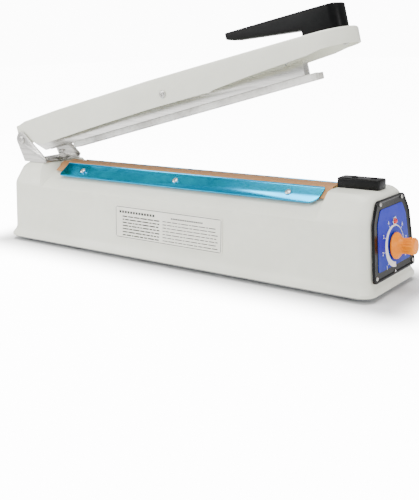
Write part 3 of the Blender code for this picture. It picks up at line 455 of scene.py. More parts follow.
def fit_out(piece, body, finish, slot, *nodes, angle=35.0):
    """Shade a finished piece, give it its finish and set it on its body in place of frame nodes."""
    smooth(piece, angle)
    dress(piece, finish)
    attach(piece, body)
    if nodes:
        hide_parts(*nodes)


# ---- effects shared by the finishes -------------------------------------------------------------
def new_effect(name, numbers, results):
    """An empty effect group with a Vector input, number inputs and float results."""
    group = bpy.data.node_groups.new(name, "ShaderNodeTree")
    group.interface.new_socket("Vector", in_out="INPUT", socket_type="NodeSocketVector")
    for label, default in numbers:
        socket = group.interface.new_socket(label, in_out="INPUT", socket_type="NodeSocketFloat")
        socket.default_value = default
    for label in results:
        group.interface.new_socket(label, in_out="OUTPUT", socket_type="NodeSocketFloat")
    return group, group.nodes.new("NodeGroupInput"), group.nodes.new("NodeGroupOutput")


def add_node(tree, kind, **settings):
    """A node with its settings."""
    node = tree.nodes.new(kind)
    for name, value in settings.items():
        setattr(node, name, value)
    return node


def between(tree, source, low, high, to_low=0.0, to_high=1.0):
    """A value moved from one range to another."""
    node = add_node(tree, "ShaderNodeMapRange", interpolation_type="SMOOTHSTEP")
    limits = {"From Min": low, "From Max": high, "To Min": to_low, "To Max": to_high}
    for label, value in limits.items():
        node.inputs[label].default_value = value
    tree.links.new(source, node.inputs["Value"])
    return node.outputs["Result"]


def worked(tree, operation, first, second):
    """A Math node on two sources, each a socket or a number."""
    node = add_node(tree, "ShaderNodeMath", operation=operation)
    for socket, source in zip(node.inputs, (first, second)):
        if isinstance(source, (int, float)):
            socket.default_value = source
        else:
            tree.links.new(source, socket)
    return node.outputs["Value"]


def noise_in(tree, vector, scale, detail=4.0):
    """A noise texture whose scale is a socket or a number."""
    node = add_node(tree, "ShaderNodeTexNoise")
    node.inputs["Detail"].default_value = detail
    tree.links.new(vector, node.inputs["Vector"])
    if isinstance(scale, (int, float)):
        node.inputs["Scale"].default_value = scale
    else:
        tree.links.new(scale, node.inputs["Scale"])
    return node.outputs["Fac"]


def make_handling():
    """Broad smudges and fine scuffs left by hands and bags."""
    group, entry, leave_at = new_effect("Handling", [("Scale", 14.0)], ["Mask"])
    broad = noise_in(group, entry.outputs["Vector"], entry.outputs["Scale"], 5.0)
    fine = noise_in(group, entry.outputs["Vector"],
                    worked(group, "MULTIPLY", entry.outputs["Scale"], 9.0), 3.0)
    blend = worked(group, "ADD", worked(group, "MULTIPLY", broad, 0.75),
                   worked(group, "MULTIPLY", fine, 0.25))
    group.links.new(between(group, blend, 0.36, 0.66), leave_at.inputs["Mask"])


def make_grain():
    """The fine skin of powder coat or of a moulding."""
    group, entry, leave_at = new_effect("Skin grain", [("Scale", 900.0)], ["Height"])
    fine = noise_in(group, entry.outputs["Vector"], entry.outputs["Scale"], 2.0)
    coarse = noise_in(group, entry.outputs["Vector"],
                      worked(group, "MULTIPLY", entry.outputs["Scale"], 0.22), 1.0)
    total = worked(group, "ADD", worked(group, "MULTIPLY", fine, 0.6),
                   worked(group, "MULTIPLY", coarse, 0.4))
    group.links.new(total, leave_at.inputs["Height"])


def make_drawn():
    """Fine lines along X, as on rolled, drawn or brushed metal."""
    group, entry, leave_at = new_effect("Drawn lines", [("Scale", 1200.0)], ["Mask"])
    stretch = add_node(group, "ShaderNodeMapping")
    stretch.inputs["Scale"].default_value = (0.012, 1.0, 1.0)
    group.links.new(entry.outputs["Vector"], stretch.inputs["Vector"])
    lines = noise_in(group, stretch.outputs["Vector"], entry.outputs["Scale"], 3.0)
    group.links.new(between(group, lines, 0.30, 0.70), leave_at.inputs["Mask"])


def make_weave():
    """Over-and-under threads of a plain cloth, in X and Y."""
    group, entry, leave_at = new_effect("Plain weave", [("Threads", 330.0)], ["Height", "Mask"])
    waves = []
    for direction in ("X", "Y"):
        wave = add_node(group, "ShaderNodeTexWave", wave_type="BANDS", bands_direction=direction)
        wave.inputs["Distortion"].default_value = 0.35
        wave.inputs["Detail"].default_value = 1.0
        group.links.new(entry.outputs["Vector"], wave.inputs["Vector"])
        group.links.new(entry.outputs["Threads"], wave.inputs["Scale"])
        waves.append(wave.outputs["Fac"])
    height = worked(group, "MULTIPLY", waves[0], waves[1])
    group.links.new(height, leave_at.inputs["Height"])
    group.links.new(between(group, height, 0.02, 0.55), leave_at.inputs["Mask"])


def make_dust():
    """A thin film of dust on what faces up."""
    group, entry, leave_at = new_effect("Settled dust", [("Scale", 60.0)], ["Mask"])
    coords = add_node(group, "ShaderNodeTexCoord")
    parts = add_node(group, "ShaderNodeSeparateXYZ")
    group.links.new(coords.outputs["Normal"], parts.inputs["Vector"])
    level = between(group, parts.outputs["Z"], 0.55, 1.0)
    cloud = between(group, noise_in(group, entry.outputs["Vector"], entry.outputs["Scale"], 6.0),
                    0.35, 0.75)
    group.links.new(worked(group, "MULTIPLY", level, cloud), leave_at.inputs["Mask"])


def mixed(tree, factor, first, second):
    """A colour between two, by a factor socket. Each colour is three numbers or a socket."""
    node = add_node(tree, "ShaderNodeMix", data_type="RGBA")
    tree.links.new(factor, node.inputs[0])
    for socket, source in ((node.inputs[6], first), (node.inputs[7], second)):
        if isinstance(source, bpy.types.NodeSocket):
            tree.links.new(source, socket)
        else:
            socket.default_value = (*source, 1.0)
    return node.outputs[2]


def effect(tree, name, vector, **values):
    """An effect group in a material, with its values."""
    node = add_node(tree, "ShaderNodeGroup", node_tree=bpy.data.node_groups[name])
    tree.links.new(vector, node.inputs["Vector"])
    for label, value in values.items():
        node.inputs[label].default_value = value
    return node


def new_finish(name, constants):
    """A Principled material with its constant sockets set. Returns material, tree, shader."""
    made = bpy.data.materials.new(name)
    made.use_nodes = True
    tree = made.node_tree
    shader = tree.nodes["Principled BSDF"]
    for label, value in constants.items():
        shader.inputs[label].default_value = value
    return made, tree, shader


def finish(name, light, dark, roughness, spread, pattern="Handling", scale=14.0, relief=0.0,
           relief_scale=900.0, dust=None, **constants):
    """A finish whose colour and roughness vary with a pattern, with a fine skin and dust."""
    made, tree, shader = new_finish(name, constants)
    place = add_node(tree, "ShaderNodeTexCoord").outputs["Object"]
    marks = effect(tree, pattern, place, Scale=scale).outputs["Mask"]
    tint = mixed(tree, marks, light, dark)
    dull = between(tree, marks, 0.0, 1.0, roughness, roughness + spread)
    if dust:
        film = effect(tree, "Settled dust", place, Scale=70.0).outputs["Mask"]
        film = worked(tree, "MULTIPLY", film, 0.10)
        tint = mixed(tree, film, tint, dust)
        dull = worked(tree, "ADD", dull, film)
    tree.links.new(tint, shader.inputs["Base Color"])
    tree.links.new(dull, shader.inputs["Roughness"])
    if relief:
        bump = add_node(tree, "ShaderNodeBump")
        bump.inputs["Strength"].default_value = relief
        bump.inputs["Distance"].default_value = 0.00008
        skin = effect(tree, "Skin grain", place, Scale=relief_scale)
        tree.links.new(skin.outputs["Height"], bump.inputs["Height"])
        tree.links.new(bump.outputs["Normal"], shader.inputs["Normal"])
    return made


def metal(name, light, dark, roughness, spread, scale=1200.0):
    """Plated or drawn metal with fine lines."""
    return finish(name, light, dark, roughness, spread, pattern="Drawn lines", scale=scale,
                  relief=0.05, relief_scale=700.0, Metallic=1.0)


def cloth_finish(settings):
    """Coated glass cloth: threads in relief under a satin coat."""
    made, tree, shader = new_finish("coated_glass_cloth", {"Specular IOR Level": 0.22,
                                                           "Coat Weight": 0.04})
    place = add_node(tree, "ShaderNodeTexCoord").outputs["Object"]
    threads = effect(tree, "Plain weave", place, Threads=330.0)
    stain = effect(tree, "Handling", place, Scale=22.0).outputs["Mask"]
    base = mixed(tree, threads.outputs["Mask"], settings.cloth_shade, settings.cloth)
    stained = mixed(tree, worked(tree, "MULTIPLY", stain, 0.30), base, settings.cloth_shade)
    tree.links.new(stained, shader.inputs["Base Color"])
    tree.links.new(between(tree, threads.outputs["Mask"], 0.0, 1.0, 0.62, 0.42),
                   shader.inputs["Roughness"])
    bump = add_node(tree, "ShaderNodeBump")
    bump.inputs["Strength"].default_value = 0.45
    bump.inputs["Distance"].default_value = 0.00015
    tree.links.new(threads.outputs["Height"], bump.inputs["Height"])
    tree.links.new(bump.outputs["Normal"], shader.inputs["Normal"])
    return made


def film_finish(settings):
    """Printed panel film that runs from blue at the bottom to violet at the top."""
    made, tree, shader = new_finish("panel_film", {"Specular IOR Level": 0.18})
    place = add_node(tree, "ShaderNodeTexCoord").outputs["Object"]
    parts = add_node(tree, "ShaderNodeSeparateXYZ")
    tree.links.new(place, parts.inputs["Vector"])
    height = between(tree, parts.outputs["Z"], KNOB_SEAT.z - 0.020, KNOB_SEAT.z + 0.034)
    marks = effect(tree, "Handling", place, Scale=40.0).outputs["Mask"]
    tint = mixed(tree, height, settings.print_blue, settings.print_violet)
    tree.links.new(tint, shader.inputs["Base Color"])
    tree.links.new(between(tree, marks, 0.0, 1.0, 0.34, 0.46), shader.inputs["Roughness"])
    return made


FINISHES = {}


def make_finishes():
    """Every effect and finish, from the settings."""
    for make in (make_handling, make_grain, make_drawn, make_weave, make_dust):
        make()
    scene = bpy.context.scene
    case, line, fit = scene.sealer_case, scene.sealer_line, scene.sealer_fittings
    dust = (0.80, 0.79, 0.76)
    black, worn, steel = tuple(fit.black), tuple(fit.black_shade), tuple(fit.steel)
    dull_steel = tuple(0.72 * value for value in steel)
    FINISHES.update({
        "paint": finish("powder_coat", tuple(case.paint), tuple(case.paint_shade), 0.33, 0.10,
                        relief=0.12, relief_scale=1100.0, dust=dust),
        "strip": finish("anodised_strip", tuple(line.strip), tuple(line.strip_shade), 0.13, 0.07,
                        scale=7.0, Metallic=1.0,
                        **{"Specular Tint": (0.25, 0.70, 1.0, 1.0)}),
        "cloth": cloth_finish(line),
        "silicone": finish("silicone_rubber", tuple(line.silicone), (0.52, 0.50, 0.47), 0.46, 0.16,
                           scale=30.0, relief=0.10, relief_scale=500.0),
        "black": finish("black_moulding", black, worn, 0.20, 0.12, scale=24.0, relief=0.05,
                        relief_scale=1600.0, **{"Specular IOR Level": 0.16}),
        "black_satin": finish("black_satin_moulding", black, worn, 0.34, 0.14, scale=30.0,
                              relief=0.16, relief_scale=1500.0,
                              **{"Specular IOR Level": 0.12}),
        "rubber": finish("foot_rubber", (0.018, 0.018, 0.018), (0.040, 0.039, 0.038), 0.75, 0.15,
                         scale=60.0, relief=0.3, relief_scale=700.0),
        "steel": metal("nickel_plate", steel, dull_steel, 0.24, 0.14),
        "bright": metal("bright_plate", (0.78, 0.78, 0.77), (0.62, 0.62, 0.61), 0.10, 0.09, 2200.0),
        "bar": metal("press_bar_plate", (0.80, 0.79, 0.765), (0.66, 0.65, 0.62), 0.20, 0.12, 1500.0),
        "alloy": metal("bed_alloy", (0.70, 0.70, 0.70), (0.58, 0.58, 0.58), 0.30, 0.12),
        "element": metal("element_alloy", (0.60, 0.58, 0.55), (0.42, 0.38, 0.33), 0.28, 0.15),
        "brass": metal("terminal_brass", (0.75, 0.55, 0.25), (0.60, 0.42, 0.18), 0.28, 0.12),
        "bronze": metal("sintered_bronze", (0.62, 0.42, 0.20), (0.42, 0.28, 0.14), 0.42, 0.14, 500.0),
        "knob": finish("amber_moulding", tuple(fit.knob), (0.90, 0.22, 0.000), 0.26, 0.10,
                       scale=60.0, relief=0.05, relief_scale=1400.0,
                       **{"Specular IOR Level": 0.22}),
        "film": film_finish(fit),
        "ink": finish("white_ink", (0.86, 0.86, 0.86), (0.78, 0.78, 0.79), 0.42, 0.10, scale=90.0),
        "dark_ink": finish("dark_ink", (0.012, 0.011, 0.011), (0.040, 0.038, 0.038), 0.45, 0.15,
                           scale=160.0),
        "foil": finish("label_foil", tuple(fit.foil), (0.84, 0.83, 0.73), 0.38, 0.10, scale=26.0,
                       relief=0.05, relief_scale=260.0),
        "lens": finish("lamp_lens", (0.80, 0.010, 0.012), (0.62, 0.004, 0.006), 0.10, 0.06,
                       scale=160.0, **{"Coat Weight": 0.6, "Subsurface Weight": 0.2}),
        "sheet": finish("base_sheet_paint", (0.30, 0.31, 0.31), (0.24, 0.25, 0.25), 0.42, 0.14,
                        relief=0.1),
        "core": finish("varnished_core", (0.060, 0.052, 0.045), (0.11, 0.085, 0.06), 0.40, 0.2,
                       pattern="Drawn lines", scale=2600.0, relief=0.1, Metallic=0.4),
        "winding": finish("winding_tape", (0.50, 0.30, 0.07), (0.38, 0.20, 0.04), 0.34, 0.2,
                          pattern="Drawn lines", scale=900.0, relief=0.1),
        "board": finish("circuit_board", (0.030, 0.160, 0.060), (0.018, 0.110, 0.045), 0.30, 0.15,
                        scale=120.0),
        "carrier": finish("white_moulding", (0.74, 0.74, 0.71), (0.66, 0.66, 0.62), 0.42, 0.12,
                          relief=0.08),
        "relay": finish("relay_case", (0.060, 0.150, 0.400), (0.040, 0.110, 0.320), 0.25, 0.12),
    })


# ---- painted casing -----------------------------------------------------------------------------
def end_x(height):
    """X of the leaning panel end at a height above the shell's lower edge."""
    return PIN.x + END_FOOT - END_LEAN * (height - LIP_TOP)


def shell_sections():
    """(height, left, right, half width) of the shell, from its lip to its roof."""
    left, right = SHELL_LOW.x, SHELL_HIGH.x
    return [(0.0000, left, right, SHELL_HIGH.y),
            (0.0025, left, right, SHELL_HIGH.y),
            (LIP_TOP, left + 0.0030, end_x(LIP_TOP), 0.0424),
            (0.0580, left + 0.0040, end_x(0.058), 0.0390),
            (0.0740, left + 0.0085, end_x(0.074), 0.0300),
            (0.0780, left + 0.0145, end_x(0.078) - 0.004, 0.0262)]


def model_shell(case):
    """The pressed body shell: a block drawn up through its sections, with the land pressed in."""
    base = SHELL_LOW.z
    sections = shell_sections()
    _, left, right, half = sections[0]
    shell = block("shell_skin", (left, -half, base), (right, half, base + sections[1][0]))
    pick(shell, "FACE", lambda face: face.normal.z > 0.9)
    for below, above in zip(sections[1:], sections[2:]):
        draw_out(0, 0, above[0] - below[0])
        grow = ((above[2] - above[1]) / (below[2] - below[1]), above[3] / below[3], 1.0)
        centre = (below[1] + below[2]) / 2
        bpy.ops.transform.resize(value=grow, center_override=(centre, 0, base + above[0]))
        shift((above[1] + above[2]) / 2 - centre, 0, 0)
    leave()
    round_edges(shell, lambda e: abs(run(e).z) > 0.15, case.corner, 8)
    levels = [(sections[2][0], 0.0024, 3), (sections[3][0], case.crease, 4),
              (sections[4][0], 0.0028, 4), (sections[5][0], 0.0016, 3)]
    for height, width, segments in levels:
        round_edges(shell, lambda e: abs(run(e).z) < 0.02
                    and abs(middle(e).z - base - height) < 0.0002, width, segments)
    press_land(shell)
    remove_faces(shell, lambda f: f.normal.z < -0.9 and f.calc_center_median().z < base + 0.001)
    thicken(shell, case.wall)
    slot = block("slot", (PIN.x + 0.0165, -0.0060, base + 0.060),
                 (PIN.x + 0.0390, 0.0060, base + 0.090))
    round_edges(slot, upright, 0.0020, 3)
    carve(shell, slot, solver="MANIFOLD")
    gland = centre_of("cable_gland")
    drill(shell, (gland.x, 0.036, gland.z), (gland.x, 0.050, gland.z), 0.0064, solver="MANIFOLD")
    return shell


def press_land(shell):
    """Press the long land with its two slopes into the shell's roof."""
    reach = 0.0500
    fall = LAND_SLOPE * (reach - LAND_RIDGE)
    tool = block("land_tool", (LAND_ENDS[0], -LAND_RIDGE, LAND_TOP),
                 (LAND_ENDS[1], LAND_RIDGE, LAND_TOP + 0.02))
    for side in (-1, 1):
        pick(tool, "FACE", lambda f: f.normal.y * side > 0.9)
        draw_out(0, side * (reach - LAND_RIDGE), 0)
        leave()
        pick(tool, "VERT", lambda v: v.co.y * side > reach - 0.001 and v.co.z < LAND_TOP + 0.001)
        shift(0, 0, -fall)
        leave()
    # the ends flare outwards, so that the sheet turns up from the land in a soft ramp
    for end, side in zip(LAND_ENDS, (-1, 1)):
        pick(tool, "VERT", lambda v: abs(v.co.x - end) < 0.001 and v.co.z > LAND_TOP + 0.01)
        shift(side * 0.014, 0, 0)
        leave()
    carve(shell, tool)
    round_edges(shell, lambda e: crease_angle(e) > math.radians(11)
                and middle(e).z > SHELL_LOW.z + 0.050
                and (min(abs(middle(e).x - end) for end in LAND_ENDS) < 0.022
                     or abs(abs(middle(e).y) - LAND_RIDGE) < 0.0005), 0.0012, 3)


def model_cover(case):
    """The pressed arm cover with its full-round free end, open underneath."""
    level, depth = 0.0190, -0.0120
    cover = block("arm_skin", (-0.0060, -COVER_HALF_WIDTH, depth),
                  (COVER_TIP, COVER_HALF_WIDTH, level))
    round_edges(cover, lambda e: upright(e) and middle(e).x > COVER_TIP - 0.001,
                COVER_HALF_WIDTH - 0.00005, 14)
    stations = sorted({x for x, _ in ROOF_LINE[1:-1] + SKIRT_LINE[1:-1]})
    slice_at(cover, stations)
    follow(cover, lambda v: v.co.z > 0.001, ROOF_LINE, level)
    follow(cover, lambda v: v.co.z < depth + 0.0005, SKIRT_LINE, depth)
    round_edges(cover, lambda e: len(e.link_faces) == 2 and crease_angle(e) > math.radians(60)
                and middle(e).z > 0.005 and middle(e).x > -0.005, case.cover_edge, 5)
    remove_faces(cover, lambda f: f.normal.z < -0.6 or f.normal.x < -0.9)
    thicken(cover, case.cover_wall)
    soften(cover, 0.00035, 2, 50.0)
    drill(cover, (0, -0.03, 0), (0, 0.03, 0), 0.0029)
    drill(cover, (GUIDE.x, -0.03, GUIDE.z), (GUIDE.x, 0.03, GUIDE.z), 0.0022)
    freeze(cover, ARM)
    return cover


# ---- arm fittings -------------------------------------------------------------------------------
def model_handle(fit):
    """The black grip: a round-ended foot with a wedge that reaches back over the arm."""
    foot_left, foot_right, half = 0.3537, 0.3900, 0.0100
    throat, top = 0.0189, 0.0337
    handle = block("grip", (foot_left, -half, 0.0121), (foot_right, half, top))
    round_edges(handle, lambda e: upright(e) and middle(e).x > foot_right - 0.001,
                half - 0.0002, 10)
    slice_at(handle, [throat], (0, 0, 1))
    pick(handle, "FACE", lambda f: f.normal.x < -0.9 and f.calc_center_median().z > throat)
    for reach, narrow, low in ((0.0680, 0.76, 0.0290), (0.0081, 0.95, 0.0318)):
        draw_out(-reach, 0, 0)
        bpy.ops.transform.resize(value=(1.0, narrow, 1.0), center_override=(0, 0, 0))
        leave()
        far = min(v.co.x for v in handle.data.vertices)
        lowest = min(v.co.z for v in handle.data.vertices if v.co.x < far + 0.001)
        pick(handle, "VERT", lambda v: v.co.x < far + 0.001 and v.co.z < lowest + 0.001)
        shift(0, 0, low - lowest)
        leave()
        pick(handle, "FACE", lambda f: f.normal.x < -0.9 and f.calc_center_median().x < far + 0.001)
    leave()
    slice_at(handle, [0.3840])
    grip_top = [(0.2776, 0.0377), (0.3840, 0.0321), (0.3885, 0.0314), (0.3900, 0.0306)]
    follow(handle, lambda v: v.co.z > top - 0.0005, grip_top, top)
    seat = [(foot_left, along_line(ROOF_LINE, foot_left) + 0.0003),
            (foot_right, along_line(ROOF_LINE, foot_right) + 0.0003)]
    follow(handle, lambda v: v.co.z < 0.0122, seat, 0.0121)
    soften(handle, fit.grip_edge, 4, 28.0)
    freeze(handle, ARM)
    return handle


def model_silicone():
    """The silicone strip, round-edged underneath, with a notch in its end."""
    low, high = 0.0, 0.0056
    strip = block("silicone_edge", (0.0575, -0.0065, low), (0.3570, 0.0065, high))
    round_edges(strip, lambda e: abs(run(e).x) > 0.9 and middle(e).z < low + 0.001, 0.0014, 4)
    round_edges(strip, lambda e: abs(run(e).x) > 0.9 and middle(e).z > high - 0.001, 0.0004, 2)
    notch = block("notch", (-0.0016, -0.0016, -0.001), (0.0016, 0.0016, 0.007))
    turn = Matrix.Rotation(math.radians(45), 4, "Z")
    freeze(notch, Matrix.Translation((0.3574, 0.0008, 0)) @ turn)
    carve(strip, notch)
    freeze(strip, ARM @ Matrix.Translation((0, 0, SILICONE_TOP - high)))
    return strip


# ---- sealing line -------------------------------------------------------------------------------
def on_slope(x, side, across, lift=0.0):
    """A frame on the land's slope: X along the machine, Z squarely out of the sheet."""
    out = Vector((0, side * math.sin(LAND_TILT), math.cos(LAND_TILT)))
    height = LAND_TOP - LAND_SLOPE * (across - LAND_RIDGE)
    base = Vector((x, side * across, height)) + out * lift
    along = Vector((1, 0, 0))
    return Matrix.Translation(base) @ Matrix((along, out.cross(along), out)).transposed().to_4x4()


def model_strip(name, side, line):
    """A clamp strip with rounded outer corners and a rolled hem along its inner edge."""
    inner, outer = 0.0109, 0.0257
    half_x = (STRIP_HIGH.x - STRIP_LOW.x) / 2
    centre_x = (STRIP_HIGH.x + STRIP_LOW.x) / 2
    half_y = (outer - inner) / 2 / math.cos(LAND_TILT)
    strip = block(name, (-half_x, -half_y, 0), (half_x, half_y, line.strip_thick))
    round_edges(strip, lambda e: upright(e) and middle(e).x > 0
                and middle(e).y * side > 0, 0.0100, 8)
    round_edges(strip, lambda e: upright(e) and middle(e).x < 0
                and middle(e).y * side > 0, 0.0030, 6)
    # the hem: the inner edge turned up and over in short folds
    pick(strip, "FACE", lambda f: f.normal.y * side < -0.9)
    for reach, rise in ((0.0005, 0.35), (0.0003, 0.60)):
        draw_out(0, -side * reach, line.hem * rise)
    leave()
    soften(strip, 0.00025, 2, 25.0)
    freeze(strip, on_slope(centre_x, side, (inner + outer) / 2, STRIP_LIFT))
    return strip


def strip_screw_places():
    """(x, side) of the clamp strips' screws."""
    centre = (STRIP_HIGH.x + STRIP_LOW.x) / 2 - 0.0008
    return [(centre + step * SCREW_PITCH, side) for side in (-1, 1) for step in (-1, 0, 1)]


def model_cloth(line):
    """Coated cloth stretched over the bed and down both slopes, with a slight ripple."""
    length_x = CLOTH_HIGH.x - CLOTH_LOW.x
    top = CLOTH_HIGH.z - line.cloth_thick
    bed = BED_HIGH.y
    half = CLOTH_HIGH.y
    clear_selection()
    bpy.ops.mesh.primitive_grid_add(x_subdivisions=120, y_subdivisions=32, size=1.0)
    cloth = newest("heat_cloth")
    cloth.scale = (length_x, 2 * half, 1.0)
    cloth.location = ((CLOTH_LOW.x + CLOTH_HIGH.x) / 2, 0, top)
    freeze(cloth)
    for row in sorted({round(v.co.y, 6) for v in cloth.data.vertices}):
        if abs(row) > bed:
            pick(cloth, "VERT", lambda v: abs(v.co.y - row) < 2e-6)
            shift(0, 0, -LAND_SLOPE * (abs(row) - bed))
            leave()
    # corners drawn in a little where the cloth was trimmed by hand
    for side in (-1, 1):
        pick(cloth, "VERT", lambda v: v.co.x < CLOTH_LOW.x + 0.004 and v.co.y * side > 0.014)
        shift(0.0012, 0, 0)
        leave()
    ripple = bpy.data.textures.new("cloth_ripple", "CLOUDS")
    ripple.noise_scale = 0.020
    modify(cloth, "DISPLACE", texture=ripple, strength=0.00025, mid_level=0.75,
           texture_coords="LOCAL")
    modify(cloth, "SOLIDIFY", thickness=line.cloth_thick, offset=0.0)
    return cloth


# ---- switch block -------------------------------------------------------------------------------
def model_block(fit):
    """The black switch block with its chamfered top, plunger bore and screw well."""
    made = block("block_moulding", BLOCK_LOW, BLOCK_HIGH)
    round_edges(made, upright, 0.0020, 4)
    round_edges(made, lambda e: middle(e).z > BLOCK_HIGH.z - 0.0001 and abs(run(e).z) < 0.1
                and crease_angle(e) > math.radians(40), fit.block_edge, 3)
    for node, bottom, radius in (("switch_plunger", BLOCK_LOW.z - 0.002, 0.0028),
                                 ("switch_block_screw", BLOCK_HIGH.z - 0.0035, 0.0036)):
        x = centre_of(node).x
        drill(made, (x, 0, bottom), (x, 0, BLOCK_HIGH.z + 0.002), radius)
    soften(made, 0.00025, 2, 50.0)
    return made


# ---- control panel ------------------------------------------------------------------------------
PANEL_CORNERS = [(0.0379, -0.0231), (0.0331, 0.0246), (0.0241, 0.0402)]  # (side, up) from the knob
PANEL_SCREW_SINK = 0.0002           # how far the corner screws sit into the bezel
PANEL_SHIFT = -0.0015               # the panel's middle from the knob, to the viewer's right


def panel_blank(name, shrink, low, high, corner):
    """A six-sided plate in the panel's frame, pulled in by a margin, with rounded corners."""
    (side_low, up_low), (side_mid, up_mid), (side_top, up_top) = PANEL_CORNERS
    plate = block(name, (PANEL_SHIFT - side_low + shrink, up_low + shrink, low),
                  (PANEL_SHIFT + side_low - shrink, up_top - shrink, high))
    for side in (-1, 1):
        for (s0, u0), (s1, u1) in zip(PANEL_CORNERS, PANEL_CORNERS[1:]):
            outward = Vector((side * (u1 - u0), s0 - s1, 0)).normalized()
            point = Vector((PANEL_SHIFT + side * s0, u0, 0)) - outward * shrink
            slice_off(plate, point, outward)
    round_edges(plate, upright, corner, 5)
    return plate


def model_bezel():
    """The moulded bezel: a dished six-sided plate with a raised rim."""
    bezel = panel_blank("panel_bezel", 0.0, -PANEL_THICK + 0.0003, 0.0, 0.0034)
    pick(bezel, "FACE", lambda f: f.normal.z > 0.9)
    bpy.ops.mesh.inset(thickness=0.0016, depth=0.0)
    bpy.ops.mesh.inset(thickness=0.0009, depth=-0.0007)
    leave()
    soften(bezel, 0.00035, 3, 25.0)
    freeze(bezel, PANEL)
    return bezel


def model_film():
    """The printed film, let into the bezel."""
    film = panel_blank("panel_film", 0.0075, -0.0007, -0.0003, 0.0022)
    freeze(film, PANEL)
    return film


def ink_disc(name, radius, centre=(0, 0), sides=64, low=-0.0003, high=-0.00018):
    """A thin printed disc in the panel's frame."""
    disc = barrel(name, radius, low, high, sides)
    freeze(disc, Matrix.Translation((*centre, 0)))
    return disc


def model_dial():
    """The dial's print: a crescent that widens with time, ticks, figures and a pointer."""
    crescent = ink_disc("dial_print", 0.0172)
    carve(crescent, ink_disc("inner", 0.0146, (0.0017, 0.0012), low=-0.001, high=0.001))
    gap = block("gap", (0.0, -0.030, -0.001), (0.030, -0.004, 0.001))
    carve(crescent, gap)
    shapes = [crescent]
    for step in range(8):
        angle = math.radians(222 - step * 36)
        centre = Vector((math.cos(angle), math.sin(angle), 0))
        tick = block("tick", (0.0178, -0.00025, -0.0003), (0.0192, 0.00025, -0.00018))
        freeze(tick, Matrix.Rotation(angle, 4, "Z"))
        shapes.append(tick)
        clear_selection()
        bpy.ops.object.text_add()
        figure = bpy.context.object
        figure.data.body = str(step + 1)
        figure.data.size = 0.0046
        figure.data.align_x = figure.data.align_y = "CENTER"
        figure.data.extrude = 0.00006
        bpy.ops.object.convert(target="MESH")
        freeze(figure, Matrix.Translation(centre * 0.0218 + Vector((0, 0, -0.00024))))
        shapes.append(figure)
    pointer = barrel("pointer", 0.0014, -0.0003, -0.00018, 3)
    freeze(pointer, Matrix.Translation((-0.0015, -0.0205, 0)))
    shapes.append(pointer)
    dial = joined("dial_print", shapes)
    freeze(dial, PANEL)
    return dial


def model_knob(fit):
    """The amber knob: a skirt, a waist and a fluted grip with a domed end."""
    r = 0.0110
    tall = 0.0180
    knob = turn_up("timer_dial_knob", [(r * 0.96, 0.0005), (r, 0.0011), (r * 0.985, 0.0020),
                                       (r * 0.90, 0.0030), (r * 0.72, 0.0042), (r * 0.60, 0.0062),
                                       (r * 0.57, 0.0085), (r * 0.60, 0.0112), (r * 0.64, 0.0142),
                                       (r * 0.63, 0.0168), (r * 0.58, 0.0176), (r * 0.46, tall),
                                       (r * 0.30, tall - 0.0001)], 72)
    grooves = 18
    in_groove = lambda v: (0.0064 < v.co.z < 0.0170 and v.co.xy.length > r * 0.5
                           and (math.atan2(v.co.y, v.co.x) * grooves / math.tau) % 1.0 < 0.3)
    pick(knob, "VERT", in_groove)
    shrink = 1.0 - fit.flute_depth / (r * 0.6)
    bpy.ops.transform.resize(value=(shrink, shrink, 1.0), center_override=(0, 0, 0))
    leave()
    soften(knob, 0.00015, 2, 30.0)
    freeze(knob, PANEL)
    return knob


def model_lamp():
    """The red lens: a flanged dome."""
    spot = PANEL.inverted() @ centre_of("indicator_lamp")
    place = PANEL @ Matrix.Translation((spot.x, spot.y, 0))
    lens = turn_up("lamp_dome", [(0.0024, -0.0010), (0.0024, 0.0002), (0.0023, 0.0009),
                                 (0.0020, 0.0016), (0.0014, 0.0021), (0.0006, 0.0024)], 32)
    freeze(lens, place)
    collar = turn_up("lamp_collar", [(0.0033, -0.0004), (0.0034, 0.0003), (0.0032, 0.0006),
                                     (0.0027, 0.0006)], 32)
    drill(collar, (0, 0, -0.001), (0, 0, 0.002), 0.0025)
    freeze(collar, place)
    return lens, collar


